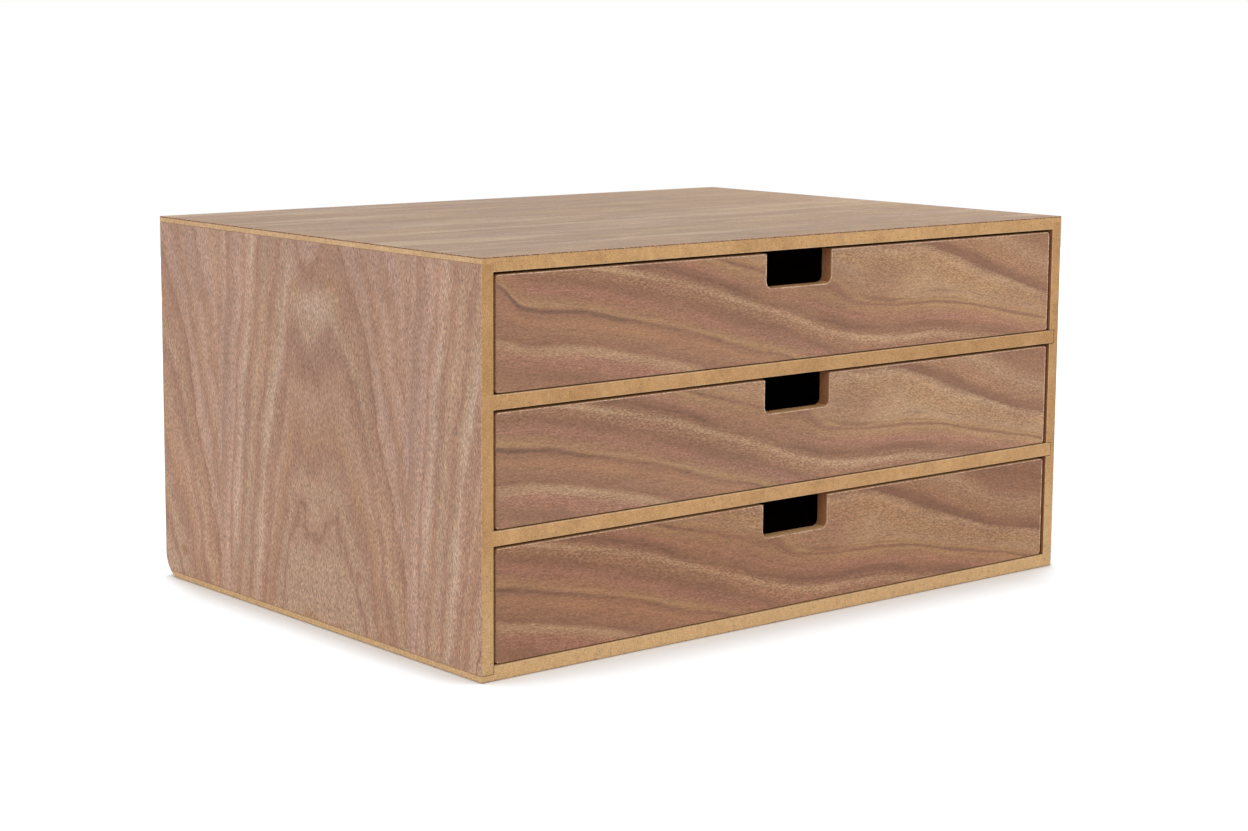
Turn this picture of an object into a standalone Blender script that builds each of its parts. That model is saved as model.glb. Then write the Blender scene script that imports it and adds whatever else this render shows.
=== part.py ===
"""Desktop drawer unit: a veneered fibreboard carcass with bays one above the other, a drawer in each.

Metres, +Z up. The origin is on the surface that the unit stands on, under the middle of the carcass.
The drawer fronts face -Y, and each drawer pulls out along -Y.
"""

import math

import bmesh
import bpy
from mathutils import Vector

# Carcass
WIDTH = 0.370
DEPTH = 0.266
HEIGHT = 0.182
BOARD = 0.0065  # finished thickness of every carcass board, its veneer included
VENEER = 0.0006
JOINT_GAP = 0.0003  # glue line, and the least clearance between two pieces that meet
CORNER_LIP = 0.0028  # what is left of the top and bottom boards above and below the sides
SHELF_HOUSING = 0.0033  # depth of the housings that hold the shelves
REAR_RADIUS = 0.012  # rounding of the lower rear corner
BACK_BOARD = 0.003
BACK_GROOVE = 0.003
BACK_INSET = 0.0185  # from the rear edges to the rear face of the back board

# Drawers, named from the lowest bay up
DRAWER_NAMES = ("lower", "middle", "upper")
FRONT_BOARD = 0.0067  # finished thickness, its veneer included
FRONT_RECESS = 0.0007  # the fronts sit this far behind the carcass edges
FRONT_SIDE_GAP = 0.0018
FRONT_TOP_GAP = 0.0013
FRONT_UNDER_GAP = 0.0005
FRONT_CORNER_RADIUS = 0.0015
NOTCH_WIDTH = 0.0422
NOTCH_DEPTH = 0.016
NOTCH_RADIUS = 0.0035
WALL_BOARD = 0.006
WALL_DROP = 0.0064  # the walls end this far below the top of the front
WALL_REBATE = 0.003  # depth of the rebates that join the walls to the front and to the back wall
BASE_BOARD = 0.003
BASE_GROOVE = 0.003
BASE_LIFT = 0.004  # from the lower edges of the walls to the underside of the base

# Modelling
ARC_STEPS = 8
CUT_PAST = 0.002  # how far a cutter runs past the wood
WELD = 0.00001

# Looks, with the colours in linear light
FIBREBOARD_COLOUR = (0.54, 0.32, 0.13)
FIBREBOARD_ROUGHNESS = 0.75
WALNUT_COLOUR = (0.39, 0.23, 0.16)
WALNUT_ROUGHNESS = 0.55

# Places that follow
HALF_WIDTH = WIDTH / 2
FRONT_Y = -DEPTH / 2
REAR_Y = DEPTH / 2
SKIN = VENEER + JOINT_GAP  # from a veneered face to the fibreboard under it
BAY_HALF_WIDTH = HALF_WIDTH - BOARD
BAY_HEIGHT = (HEIGHT - (len(DRAWER_NAMES) + 1) * BOARD) / len(DRAWER_NAMES)
BAY_PITCH = BAY_HEIGHT + BOARD
BACK_REAR_Y = REAR_Y - BACK_INSET
BACK_FRONT_Y = BACK_REAR_Y - BACK_BOARD
SIDE_LOW_Z = CORNER_LIP + JOINT_GAP
SIDE_HIGH_Z = HEIGHT - CORNER_LIP - JOINT_GAP
SHOULDER_X = BAY_HALF_WIDTH - JOINT_GAP  # where the top and bottom boards step back for the sides

# Places in a drawer, measured from the middle of its bay's floor and from its front face
FRONT_HALF_WIDTH = BAY_HALF_WIDTH - FRONT_SIDE_GAP
FRONT_TOP_Z = BAY_HEIGHT - FRONT_TOP_GAP
DRAWER_END_Y = BACK_FRONT_Y - JOINT_GAP - FRONT_Y - FRONT_RECESS
WALL_FRONT_Y = FRONT_BOARD - WALL_REBATE + JOINT_GAP
WALL_INNER_X = FRONT_HALF_WIDTH - WALL_BOARD
WALL_LOW_Z = JOINT_GAP
WALL_TOP_Z = FRONT_TOP_Z - WALL_DROP
BASE_LOW_Z = WALL_LOW_Z + BASE_LIFT
BASE_TOP_Z = BASE_LOW_Z + BASE_BOARD
BACK_WALL_Y = DRAWER_END_Y - WALL_BOARD

# Turns an outline's own plane to the plane that it is drawn in
FACING = {
    "Y": (math.radians(90), 0, 0),  # the outline is in X and Z, and its thickness runs along Y
    "X": (math.radians(90), 0, math.radians(90)),  # the outline is in Y and Z, its thickness along X
}


def clear_scene():
    for obj in list(bpy.data.objects):
        bpy.data.objects.remove(obj, do_unlink=True)


def new_collection(name):
    collection = bpy.data.collections.new(name)
    bpy.context.scene.collection.children.link(collection)
    return collection


def new_material(name, colour, roughness):
    """A Principled material with its colour in linear light."""
    material = bpy.data.materials.new(name)
    material.use_nodes = True
    shader = material.node_tree.nodes["Principled BSDF"]
    shader.inputs["Base Color"].default_value = (*colour, 1)
    shader.inputs["Roughness"].default_value = roughness
    shader.inputs["Metallic"].default_value = 0
    material.diffuse_color = (*colour, 1)
    return material


def box(name, low, high, collection):
    """A box between two corners, with its origin at its middle."""
    low, high = Vector(low), Vector(high)
    size = high - low
    mesh = bpy.data.meshes.new(name)
    shape = bmesh.new()
    bmesh.ops.create_cube(shape, size=1)
    bmesh.ops.scale(shape, vec=size, verts=shape.verts)
    shape.to_mesh(mesh)
    shape.free()
    obj = bpy.data.objects.new(name, mesh)
    obj.location = (low + high) / 2
    collection.objects.link(obj)
    return obj


def arc(centre, radius, start, turn):
    """Points of an arc about centre, from the angle start through the angle turn."""
    angles = [start + turn * step / ARC_STEPS for step in range(ARC_STEPS + 1)]
    return [centre + radius * Vector((math.cos(angle), math.sin(angle))) for angle in angles]


def outline(corners):
    """Points of a flat outline of square corners, each given as (u, v, radius)."""
    points = []
    for index, (u, v, radius) in enumerate(corners):
        corner = Vector((u, v))
        if radius == 0:
            points.append(corner)
            continue
        following = corners[(index + 1) % len(corners)]
        back = (Vector(corners[index - 1][:2]) - corner).normalized()
        on = (Vector(following[:2]) - corner).normalized()
        turn = math.copysign(math.pi / 2, on.cross(back))
        points += arc(corner + radius * (back + on), radius, math.atan2(-on.y, -on.x), turn)
    return points


def slab(name, points, low, high, facing, collection):
    """A flat outline with its thickness from low to high along the axis that facing names."""
    curve = bpy.data.curves.new(name, "CURVE")
    curve.dimensions = "2D"
    curve.fill_mode = "BOTH"
    curve.extrude = (high - low) / 2
    spline = curve.splines.new("POLY")
    spline.points.add(len(points) - 1)
    for place, point in zip(spline.points, points):
        place.co = (*point, 0, 1)
    spline.use_cyclic_u = True
    drawn = bpy.data.objects.new(name + "_outline", curve)
    collection.objects.link(drawn)
    graph = bpy.context.evaluated_depsgraph_get()
    mesh = bpy.data.meshes.new_from_object(drawn.evaluated_get(graph))
    bpy.data.objects.remove(drawn, do_unlink=True)
    mesh.name = name
    shape = bmesh.new()
    shape.from_mesh(mesh)
    bmesh.ops.remove_doubles(shape, verts=shape.verts, dist=WELD)
    bmesh.ops.recalc_face_normals(shape, faces=shape.faces)
    shape.to_mesh(mesh)
    shape.free()
    obj = bpy.data.objects.new(name, mesh)
    middle = (low + high) / 2
    obj.location = (middle, 0, 0) if facing == "X" else (0, middle, 0)
    obj.rotation_euler = FACING[facing]
    collection.objects.link(obj)
    return obj


def as_cutter(obj):
    obj.hide_render = True
    obj.display_type = "WIRE"
    return obj


def cut(obj, cutter):
    """Takes the cutter's shape out of obj, wherever both stand."""
    modifier = obj.modifiers.new(cutter.name, "BOOLEAN")
    modifier.operation = "DIFFERENCE"
    modifier.object = cutter


def cut_box(obj, label, low, high, cutters, parent=None):
    """Takes a box-shaped groove, rebate or housing out of obj."""
    cutter = as_cutter(box(f"{obj.name}_{label}", low, high, cutters))
    cutter.parent = parent
    cut(obj, cutter)


def finish(obj, material, parent):
    obj.data.materials.clear()
    obj.data.materials.append(material)
    obj.parent = parent
    return obj


def rear_corner_cutter(cutters):
    """What lies outside the rounding of the lower rear corner, across the whole width."""
    centre = Vector((REAR_Y - REAR_RADIUS, REAR_RADIUS))
    points = arc(centre, REAR_RADIUS, 0, -math.pi / 2)
    points += [
        Vector((REAR_Y - REAR_RADIUS, -CUT_PAST)),
        Vector((REAR_Y + CUT_PAST, -CUT_PAST)),
        Vector((REAR_Y + CUT_PAST, REAR_RADIUS)),
    ]
    past = HALF_WIDTH + CUT_PAST
    return as_cutter(slab("rear_corner_rounding", points, -past, past, "X", cutters))


def end_board(name, core_z, inner_z, lip, collection, cutters):
    """Core of the top or bottom board, rebated at both ends for the sides and grooved for the back."""
    low, high = sorted((core_z, inner_z))
    board = box(name, (-HALF_WIDTH, FRONT_Y, low), (HALF_WIDTH, REAR_Y, high), collection)
    inwards = math.copysign(CUT_PAST, inner_z - core_z)
    past = HALF_WIDTH + CUT_PAST
    low, high = sorted((lip, inner_z + inwards))
    for label, side in (("left", -1), ("right", 1)):
        across = sorted((side * SHOULDER_X, side * past))
        cut_box(
            board,
            f"{label}_rebate",
            (across[0], FRONT_Y - CUT_PAST, low),
            (across[1], REAR_Y + CUT_PAST, high),
            cutters,
        )
    depth = math.copysign(BACK_GROOVE, core_z - inner_z)
    low, high = sorted((inner_z + depth, inner_z + inwards))
    cut_box(
        board,
        "back_groove",
        (-past, BACK_FRONT_Y - JOINT_GAP, low),
        (past, BACK_REAR_Y + JOINT_GAP, high),
        cutters,
    )
    return board


def shelf_floor(bay):
    """Height of the floor of a bay, counted from the lowest."""
    return BOARD + bay * BAY_PITCH


def side_board(name, side, collection, cutters):
    """Core of the left (side -1) or right (side 1) board, with its housings and its groove."""
    across = sorted((side * BAY_HALF_WIDTH, side * (HALF_WIDTH - SKIN)))
    board = box(name, (across[0], FRONT_Y, SIDE_LOW_Z), (across[1], REAR_Y, SIDE_HIGH_Z), collection)
    inside = side * (BAY_HALF_WIDTH - CUT_PAST)
    groove = sorted((inside, side * (BAY_HALF_WIDTH + BACK_GROOVE)))
    cut_box(
        board,
        "back_groove",
        (groove[0], BACK_FRONT_Y - JOINT_GAP, -CUT_PAST),
        (groove[1], BACK_REAR_Y + JOINT_GAP, HEIGHT + CUT_PAST),
        cutters,
    )
    housing = sorted((inside, side * (BAY_HALF_WIDTH + SHELF_HOUSING)))
    for bay in range(1, len(DRAWER_NAMES)):
        cut_box(
            board,
            f"housing_{bay}",
            (housing[0], FRONT_Y - CUT_PAST, shelf_floor(bay) - BOARD - JOINT_GAP),
            (housing[1], BACK_FRONT_Y, shelf_floor(bay) + JOINT_GAP),
            cutters,
        )
    return board


def make_carcass(boards, cutters, fibreboard, walnut):
    """The fixed part: boards, shelves, back and the veneers on the outside."""
    carcass = bpy.data.objects.new("carcass", None)
    boards.objects.link(carcass)
    rounding = rear_corner_cutter(cutters)

    top_inner_z = HEIGHT - BOARD
    top = end_board(
        "top_panel", HEIGHT - SKIN, top_inner_z, HEIGHT - CORNER_LIP, boards, cutters
    )
    bottom = end_board("bottom_panel", SKIN, BOARD, CORNER_LIP, boards, cutters)
    cut(bottom, rounding)
    finish(top, fibreboard, carcass)
    finish(bottom, fibreboard, carcass)

    for name, side in (("left", -1), ("right", 1)):
        board = side_board(f"{name}_side_panel", side, boards, cutters)
        cut(board, rounding)
        finish(board, fibreboard, carcass)
        across = sorted((side * (HALF_WIDTH - VENEER), side * HALF_WIDTH))
        veneer = box(
            f"{name}_side_veneer",
            (across[0], FRONT_Y, SIDE_LOW_Z),
            (across[1], REAR_Y, SIDE_HIGH_Z),
            boards,
        )
        cut(veneer, rounding)
        finish(veneer, walnut, carcass)

    shelf_half = BAY_HALF_WIDTH + SHELF_HOUSING - JOINT_GAP
    for bay, above in enumerate(DRAWER_NAMES[1:], start=1):
        shelf = box(
            f"shelf_under_{above}_drawer",
            (-shelf_half, FRONT_Y, shelf_floor(bay) - BOARD),
            (shelf_half, BACK_FRONT_Y - JOINT_GAP, shelf_floor(bay)),
            boards,
        )
        finish(shelf, fibreboard, carcass)

    tongue = BACK_GROOVE - JOINT_GAP
    back = box(
        "back_panel",
        (-BAY_HALF_WIDTH - tongue, BACK_FRONT_Y, BOARD - tongue),
        (BAY_HALF_WIDTH + tongue, BACK_REAR_Y, top_inner_z + tongue),
        boards,
    )
    finish(back, fibreboard, carcass)

    top_veneer = box(
        "top_veneer", (-HALF_WIDTH, FRONT_Y, HEIGHT - VENEER), (HALF_WIDTH, REAR_Y, HEIGHT), boards
    )
    finish(top_veneer, walnut, carcass)
    bottom_veneer = box(
        "bottom_veneer", (-HALF_WIDTH, FRONT_Y, 0), (HALF_WIDTH, REAR_Y, VENEER), boards
    )
    cut(bottom_veneer, rounding)
    finish(bottom_veneer, walnut, carcass)


def front_outline():
    """A drawer front seen from in front: rounded corners, and the finger notch in its upper edge."""
    wide, high = FRONT_HALF_WIDTH, FRONT_TOP_Z
    notch, floor = NOTCH_WIDTH / 2, FRONT_TOP_Z - NOTCH_DEPTH
    return outline(
        [
            (-wide, FRONT_UNDER_GAP, FRONT_CORNER_RADIUS),
            (wide, FRONT_UNDER_GAP, FRONT_CORNER_RADIUS),
            (wide, high, FRONT_CORNER_RADIUS),
            (notch, high, 0),
            (notch, floor, NOTCH_RADIUS),
            (-notch, floor, NOTCH_RADIUS),
            (-notch, high, 0),
            (-wide, high, FRONT_CORNER_RADIUS),
        ]
    )


def drawer_front(name, place, boards, cutters, fibreboard, walnut):
    """The front's core, rebated for the walls and grooved for the base, and its veneer."""
    points = front_outline()
    veneer = slab(f"{name}_front_veneer", points, 0, VENEER, "Y", boards)
    finish(veneer, walnut, place)
    core = slab(f"{name}_front", points, SKIN, FRONT_BOARD, "Y", boards)
    for label, side in (("left", -1), ("right", 1)):
        across = sorted((side * (WALL_INNER_X - JOINT_GAP), side * (FRONT_HALF_WIDTH + CUT_PAST)))
        cut_box(
            core,
            f"{label}_rebate",
            (across[0], FRONT_BOARD - WALL_REBATE, -CUT_PAST),
            (across[1], FRONT_BOARD + CUT_PAST, BAY_HEIGHT + CUT_PAST),
            cutters,
            place,
        )
    cut_box(
        core,
        "base_groove",
        (-FRONT_HALF_WIDTH - CUT_PAST, FRONT_BOARD - BASE_GROOVE, BASE_LOW_Z - JOINT_GAP),
        (FRONT_HALF_WIDTH + CUT_PAST, FRONT_BOARD + CUT_PAST, BASE_TOP_Z + JOINT_GAP),
        cutters,
        place,
    )
    finish(core, fibreboard, place)


def drawer_wall(name, side, place, boards, cutters, fibreboard):
    """The left (side -1) or right (side 1) wall, grooved for the base and rebated for the back wall."""
    across = sorted((side * WALL_INNER_X, side * FRONT_HALF_WIDTH))
    wall = box(
        name, (across[0], WALL_FRONT_Y, WALL_LOW_Z), (across[1], DRAWER_END_Y, WALL_TOP_Z), boards
    )
    inside = side * (WALL_INNER_X - CUT_PAST)
    groove = sorted((inside, side * (WALL_INNER_X + BASE_GROOVE)))
    cut_box(
        wall,
        "base_groove",
        (groove[0], -CUT_PAST, BASE_LOW_Z - JOINT_GAP),
        (groove[1], DRAWER_END_Y + CUT_PAST, BASE_TOP_Z + JOINT_GAP),
        cutters,
        place,
    )
    rebate = sorted((inside, side * (WALL_INNER_X + WALL_REBATE)))
    cut_box(
        wall,
        "back_rebate",
        (rebate[0], BACK_WALL_Y - JOINT_GAP, -CUT_PAST),
        (rebate[1], DRAWER_END_Y + CUT_PAST, WALL_TOP_Z + CUT_PAST),
        cutters,
        place,
    )
    finish(wall, fibreboard, place)


def make_drawer(name, bay, boards, cutters, fibreboard, walnut):
    """One drawer, carried by an empty on the line that it slides along."""
    place = bpy.data.objects.new(name, None)
    place.location = (0, FRONT_Y + FRONT_RECESS, shelf_floor(bay))
    boards.objects.link(place)

    drawer_front(name, place, boards, cutters, fibreboard, walnut)
    drawer_wall(f"{name}_left_wall", -1, place, boards, cutters, fibreboard)
    drawer_wall(f"{name}_right_wall", 1, place, boards, cutters, fibreboard)

    back_half = WALL_INNER_X + WALL_REBATE - JOINT_GAP
    back_wall = box(
        f"{name}_back_wall",
        (-back_half, BACK_WALL_Y, BASE_TOP_Z + JOINT_GAP),
        (back_half, DRAWER_END_Y, WALL_TOP_Z),
        boards,
    )
    finish(back_wall, fibreboard, place)

    tongue = BASE_GROOVE - JOINT_GAP
    base = box(
        f"{name}_base",
        (-WALL_INNER_X - tongue, FRONT_BOARD - tongue, BASE_LOW_Z),
        (WALL_INNER_X + tongue, DRAWER_END_Y, BASE_TOP_Z),
        boards,
    )
    finish(base, fibreboard, place)


def main():
    clear_scene()
    boards = new_collection("drawer_unit")
    cutters = new_collection("cutters")
    fibreboard = new_material("raw_fibreboard", FIBREBOARD_COLOUR, FIBREBOARD_ROUGHNESS)
    walnut = new_material("walnut_veneer", WALNUT_COLOUR, WALNUT_ROUGHNESS)
    make_carcass(boards, cutters, fibreboard, walnut)
    for bay, name in enumerate(DRAWER_NAMES):
        make_drawer(f"{name}_drawer", bay, boards, cutters, fibreboard, walnut)


main()
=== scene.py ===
# %% [markdown]
# # A desktop drawer unit in walnut veneer
#
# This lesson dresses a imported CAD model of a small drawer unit: three drawers, one above the
# other, in a box of fibreboard that is covered with thin sheets of walnut. The model arrives as
# a fixed frame. Its solids are never moved. What this script adds is how every board was sawn,
# sanded and veneered, the grain of each sheet, the light and the camera.

import math

import bmesh
import bpy
from mathutils import Matrix, Vector


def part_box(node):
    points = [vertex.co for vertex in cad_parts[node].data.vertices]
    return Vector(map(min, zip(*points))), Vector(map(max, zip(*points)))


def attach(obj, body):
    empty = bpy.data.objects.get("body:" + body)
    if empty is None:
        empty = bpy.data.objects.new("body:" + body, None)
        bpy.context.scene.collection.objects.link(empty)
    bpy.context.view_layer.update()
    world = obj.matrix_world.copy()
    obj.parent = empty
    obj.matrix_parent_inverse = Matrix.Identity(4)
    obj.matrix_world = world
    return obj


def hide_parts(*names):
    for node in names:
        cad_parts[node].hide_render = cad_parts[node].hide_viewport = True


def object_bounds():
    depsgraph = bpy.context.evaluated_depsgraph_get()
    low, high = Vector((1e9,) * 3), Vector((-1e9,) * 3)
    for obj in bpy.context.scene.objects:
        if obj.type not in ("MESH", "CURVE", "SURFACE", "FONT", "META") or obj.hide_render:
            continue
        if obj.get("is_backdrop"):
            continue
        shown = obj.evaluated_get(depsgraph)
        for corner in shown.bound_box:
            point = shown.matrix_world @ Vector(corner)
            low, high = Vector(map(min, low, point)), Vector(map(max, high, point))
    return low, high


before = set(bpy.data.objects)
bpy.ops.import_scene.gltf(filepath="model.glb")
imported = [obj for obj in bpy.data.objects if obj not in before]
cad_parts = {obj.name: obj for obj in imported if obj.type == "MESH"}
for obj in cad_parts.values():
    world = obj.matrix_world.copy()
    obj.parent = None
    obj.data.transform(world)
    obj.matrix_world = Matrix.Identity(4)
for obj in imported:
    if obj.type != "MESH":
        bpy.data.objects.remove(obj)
cad_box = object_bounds()
print("size in mm:", [round(1000 * side) for side in cad_box[1] - cad_box[0]])

# %% [markdown]
# ## The camera
#
# The photograph looks at the unit from its left, a little above the top, through a long lens.
# Blender counts a lens in millimetres across a 36 mm sensor, so a focal length known in pixels
# is scaled by the width of the picture. The turn is built from three plain steps: the heading,
# the tilt, and the small roll of a camera that wasn't quite level. The uprights of the unit lean
# together less than such a tilt would make them: the lens was shifted, as on a studio camera.

# %% Camera
PHOTO_WIDTH = 1248
SENSOR_WIDTH = 36
FOCAL_LENGTH_IN_PIXELS = 2466.42
CAMERA_PLACE = (-0.79762, -0.95058, 0.28128)
HEADING = math.radians(39.90142)
TILT = math.radians(-8.04565)
ROLL = math.radians(0.34164)
LENS_SHIFT = (0.01, -0.04)  # in widths of the picture

scene = bpy.context.scene
lens = bpy.data.cameras.new("studio_camera")
lens.sensor_width = SENSOR_WIDTH
lens.lens = FOCAL_LENGTH_IN_PIXELS * SENSOR_WIDTH / PHOTO_WIDTH
lens.shift_x, lens.shift_y = LENS_SHIFT
camera = bpy.data.objects.new("studio_camera", lens)
scene.collection.objects.link(camera)
facing = (
    Matrix.Rotation(-HEADING, 4, "Z")
    @ Matrix.Rotation(math.radians(90) + TILT, 4, "X")
    @ Matrix.Rotation(ROLL, 4, "Z")
)
camera.matrix_world = Matrix.Translation(CAMERA_PLACE) @ facing
scene.camera = camera
scene.view_settings.view_transform = "Standard"
print("lens in mm:", round(lens.lens, 2))

# %% [markdown]
# ## Three helpers for colours and nodes
#
# Colours are easiest to read as the hex codes that a picture program shows. Those are stored on
# a curve made for screens, and Blender mixes light without that curve, so one function undoes
# it. A second function adds any node: it takes the node's settings by name, and either a value
# or another node for each input. A node is linked from its first output in use. The kind of a
# shader node is given without the word ShaderNode that Blender puts before all of them. A third
# function starts a material with no nodes at all, so that everything in it is added in the same
# way.

# %% Colours and nodes
SCREEN_KNEE = 0.04045
BLENDED = {"data_type": "RGBA"}  # settings of a Mix node that blends two colours
SHADED = {"data_type": "RGBA", "blend_type": "MULTIPLY"}  # of one that shades a colour


def paint(code):
    """An sRGB hex code as the linear colour that Blender's sockets take."""
    shares = [int(code[place : place + 2], 16) / 255 for place in (1, 3, 5)]
    linear = [
        share / 12.92 if share <= SCREEN_KNEE else ((share + 0.055) / 1.055) ** 2.4
        for share in shares
    ]
    return (*linear, 1)


def add(tree, kind, inputs=None, **settings):
    """Adds a node. Each input, by name or number, gets a value, or a link from a node or socket."""
    node = tree.nodes.new(kind if "Node" in kind else "ShaderNode" + kind)
    for name, value in settings.items():
        setattr(node, name, value)
    for key, value in (inputs or {}).items():
        if isinstance(value, bpy.types.Node):
            value = next(socket for socket in value.outputs if socket.enabled)
        if isinstance(value, bpy.types.NodeSocket):
            tree.links.new(value, node.inputs[key])
        else:
            node.inputs[key].default_value = value
    return node


def new_material(name):
    """A material without nodes, and its tree."""
    material = bpy.data.materials.new(name)
    material.use_nodes = True
    material.node_tree.nodes.clear()
    return material, material.node_tree


print("walnut brown in linear light:", [round(share, 3) for share in paint("#9f775e")])

# %% [markdown]
# ## The studio
#
# The photograph was taken in a white light tent: the light is soft from every side, a little
# stronger from the left, and the floor is so white that only the shadow under the box is left
# of it. The world gives half of the light. Where a camera ray or a reflection meets it, it is
# plain white instead, so the background is white without any more light on the wood. The floor
# is a white sheet that adds a faint cool glow for camera rays alone. It lifts the floor to white
# and takes the warm light off the wood out of it, everywhere but close to the unit, where an
# Ambient Occlusion node finds the wood nearby and leaves the shadow. The shadow is narrower
# along the left side, which faces the strongest lamp, and narrowest at the far corners.

# %% World
TENT_STRENGTH = 0.38

world = bpy.data.worlds.new("light_tent")
world.use_nodes = True
scene.world = world
tree = world.node_tree
tree.nodes.clear()
ray = add(tree, "LightPath")
mirrored = add(
    tree,
    "Math",
    {0: ray.outputs["Is Glossy Ray"], 1: ray.outputs["Is Transmission Ray"]},
    operation="MAXIMUM",
)
seen = add(tree, "Math", {0: ray.outputs["Is Camera Ray"], 1: mirrored}, operation="MAXIMUM")
tent = add(tree, "Background", {"Color": paint("#fffdfa"), "Strength": TENT_STRENGTH})
white = add(tree, "Background", {"Color": (1, 1, 1, 1), "Strength": 1.0})
mixed = add(tree, "MixShader", {0: seen, 1: tent, 2: white})
add(tree, "OutputWorld", {"Surface": mixed})
print("strength of the tent's light:", TENT_STRENGTH)

# %% White card
# Paper sweep: matt white card, whose shadow is slightly warm from the light off the wood.
FLOOR_GLOW = 0.5
CLOSED_IN = 0.54  # the share of open sky right beside the unit, where the glow is gone
SIDE_SHADOW, FRONT_SHADOW = 0.024, 0.045  # metres from the unit in which the glow fades
SIDE_END, FRONT_START = -0.20, -0.12  # the x at which one shadow turns into the other
RIGHT_END, REAR_END = (0.15, 0.19), (0.08, 0.14)  # x and y in which the shadow narrows
END_SHARE = 0.08  # how much of its width is left there
FAR_GLOW = 0.6  # added far from the lamps, so that no horizon shows
FAR_START, FAR_END = 0.4, 1.2  # metres from the middle, over which it grows

card, tree = new_material("white_card")
ray = add(tree, "LightPath")
sheet = add(tree, "BsdfDiffuse", {"Color": paint("#f5f8fa")})
place = add(tree, "TexCoord").outputs["Object"]
axes = add(tree, "SeparateXYZ", {0: place})
reach = add(
    tree,
    "MapRange",
    {0: axes.outputs["X"], 1: SIDE_END, 2: FRONT_START, 3: SIDE_SHADOW, 4: FRONT_SHADOW},
)
for axis, (start, end) in (("X", RIGHT_END), ("Y", REAR_END)):
    left_over = add(tree, "MapRange", {0: axes.outputs[axis], 1: start, 2: end, 3: 1, 4: END_SHARE})
    reach = add(tree, "Math", {0: reach, 1: left_over}, operation="MULTIPLY")
open_sky = add(tree, "AmbientOcclusion", {"Distance": reach}, samples=16, only_local=False)
from_middle = add(tree, "VectorMath", {0: place}, operation="LENGTH")
far = add(tree, "MapRange", {0: from_middle, 1: FAR_START, 2: FAR_END, 3: 0, 4: FAR_GLOW})
near_glow = add(
    tree, "MapRange", {0: open_sky.outputs["AO"], 1: CLOSED_IN, 2: 1, 3: 0, 4: FLOOR_GLOW}
)
lifted = add(tree, "Math", {0: near_glow, 1: far}, operation="ADD")
glow_share = add(tree, "Math", {0: ray.outputs["Is Camera Ray"], 1: lifted}, operation="MULTIPLY")
glow = add(tree, "Emission", {"Color": paint("#ebf7ff"), "Strength": glow_share})
both = add(tree, "AddShader", {0: sheet, 1: glow})
add(tree, "OutputMaterial", {"Surface": both})
print("the shadow reaches in mm:", 1000 * SIDE_SHADOW, "to", 1000 * FRONT_SHADOW)

# %% Floor
FLOOR_REACH = 1.6
FLOOR_DROP = 0.0002  # metres under the unit, so that the two surfaces never flicker

floor_mesh = bpy.data.meshes.new("floor")
corners = [
    (side * FLOOR_REACH, end * FLOOR_REACH, -FLOOR_DROP)
    for side, end in ((-1, -1), (1, -1), (1, 1), (-1, 1))
]
floor_mesh.from_pydata(corners, [], [(0, 1, 2, 3)])
floor_mesh.materials.append(card)
floor = bpy.data.objects.new("floor", floor_mesh)
scene.collection.objects.link(floor)
floor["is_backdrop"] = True
print("floor in metres:", 2 * FLOOR_REACH, "square")

# %% [markdown]
# ## The lamps
#
# A large square lamp is the plain stand-in for a softbox. Its power spreads over its surface, so
# a bigger lamp at the same power gives the same light with softer shadows. Three are enough: one
# high on the left, which makes the left side the brightest, one in front on the right, and one
# overhead.

# %% Lamps
LAMPS = {
    # name: (place, side length, power), in metres and watts
    "left_softbox": ((-1.9, -0.7, 1.1), 1.6, 22),
    "front_softbox": ((1.0, -2.0, 0.9), 1.6, 17),
    "top_softbox": ((0.0, 0.2, 2.2), 2.0, 15),
}
AIM = Vector((0, 0, 0.09))

for name, (place, side, power) in LAMPS.items():
    light = bpy.data.lights.new(name, "AREA")
    light.shape = "SQUARE"
    light.size = side
    light.energy = power
    light.color = paint("#fffcf8")[:3]
    lamp = bpy.data.objects.new(name, light)
    lamp.location = place
    lamp.rotation_euler = (AIM - Vector(place)).to_track_quat("-Z", "Y").to_euler()
    scene.collection.objects.link(lamp)
print("lamps:", len(LAMPS))

# %% [markdown]
# ## Fibreboard
#
# Medium-density fibreboard is wood that was steamed, ground to fibres and pressed with resin. A
# sawn and sanded edge shows the core: a mustard tan with pale and dark specks under a
# millimetre wide, where single fibres were cut, over faint cloudy patches. The pressed faces are
# smoother and a little greyer. The ends of the top and bottom boards were sanded flush with the
# side veneers, and their paler finish is painted light. The corners are eased with sandpaper,
# which leaves them palest.
# The walls of the finger notches and of the bays just behind the fronts are painted a darker,
# redder brown: painted shade for these narrow gaps.
#
# All five are the same material with other numbers, so one function builds them. Every pattern
# starts from Object coordinates, which are metres on this frame. A Mapping node multiplies them
# by 1000, and from then on a scale of 1 / size gives a pattern that many millimetres wide. Each
# board carries a number, its tone, which shifts the patches, so that two boards that meet don't
# share one pattern. Toward the lowest boards the panel is painted paler: light from the floor.

# %% Sizes in the fibreboard
MM = 0.001
PATCH = 16  # mm, cloudy patches of the core
MOTTLE = 2.2  # mm, felted bundles of fibres
DUST = 0.7  # mm, drawn about twice as coarse as the real fibres, so that it shows
PALE_FIBRE = 2.3  # mm between pale specks
DARK_FIBRE = 2.6  # mm between dark specks
SPECK_SIZE = 0.16  # of that distance
SPECKLESS = 0.45  # share of the places that have no speck
GRIT_CONTRAST = 0.30
SANDED_FUZZ = 0.02  # mm, height of the felted surface
# Painted light from the white floor: low down, the boards are painted toward a paler tan.
FLOOR_LIGHT_TOP, FLOOR_LIGHT_BOTTOM = 62, 20  # mm of height, where the boards start to grow paler and are palest
FLOOR_LIT_TAN = "#cfac7e"
FIBRE_IOR = 1.46
DRY_SHINE = 0.35  # a sanded edge mirrors less than a smooth surface, whose value is 0.5


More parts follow.
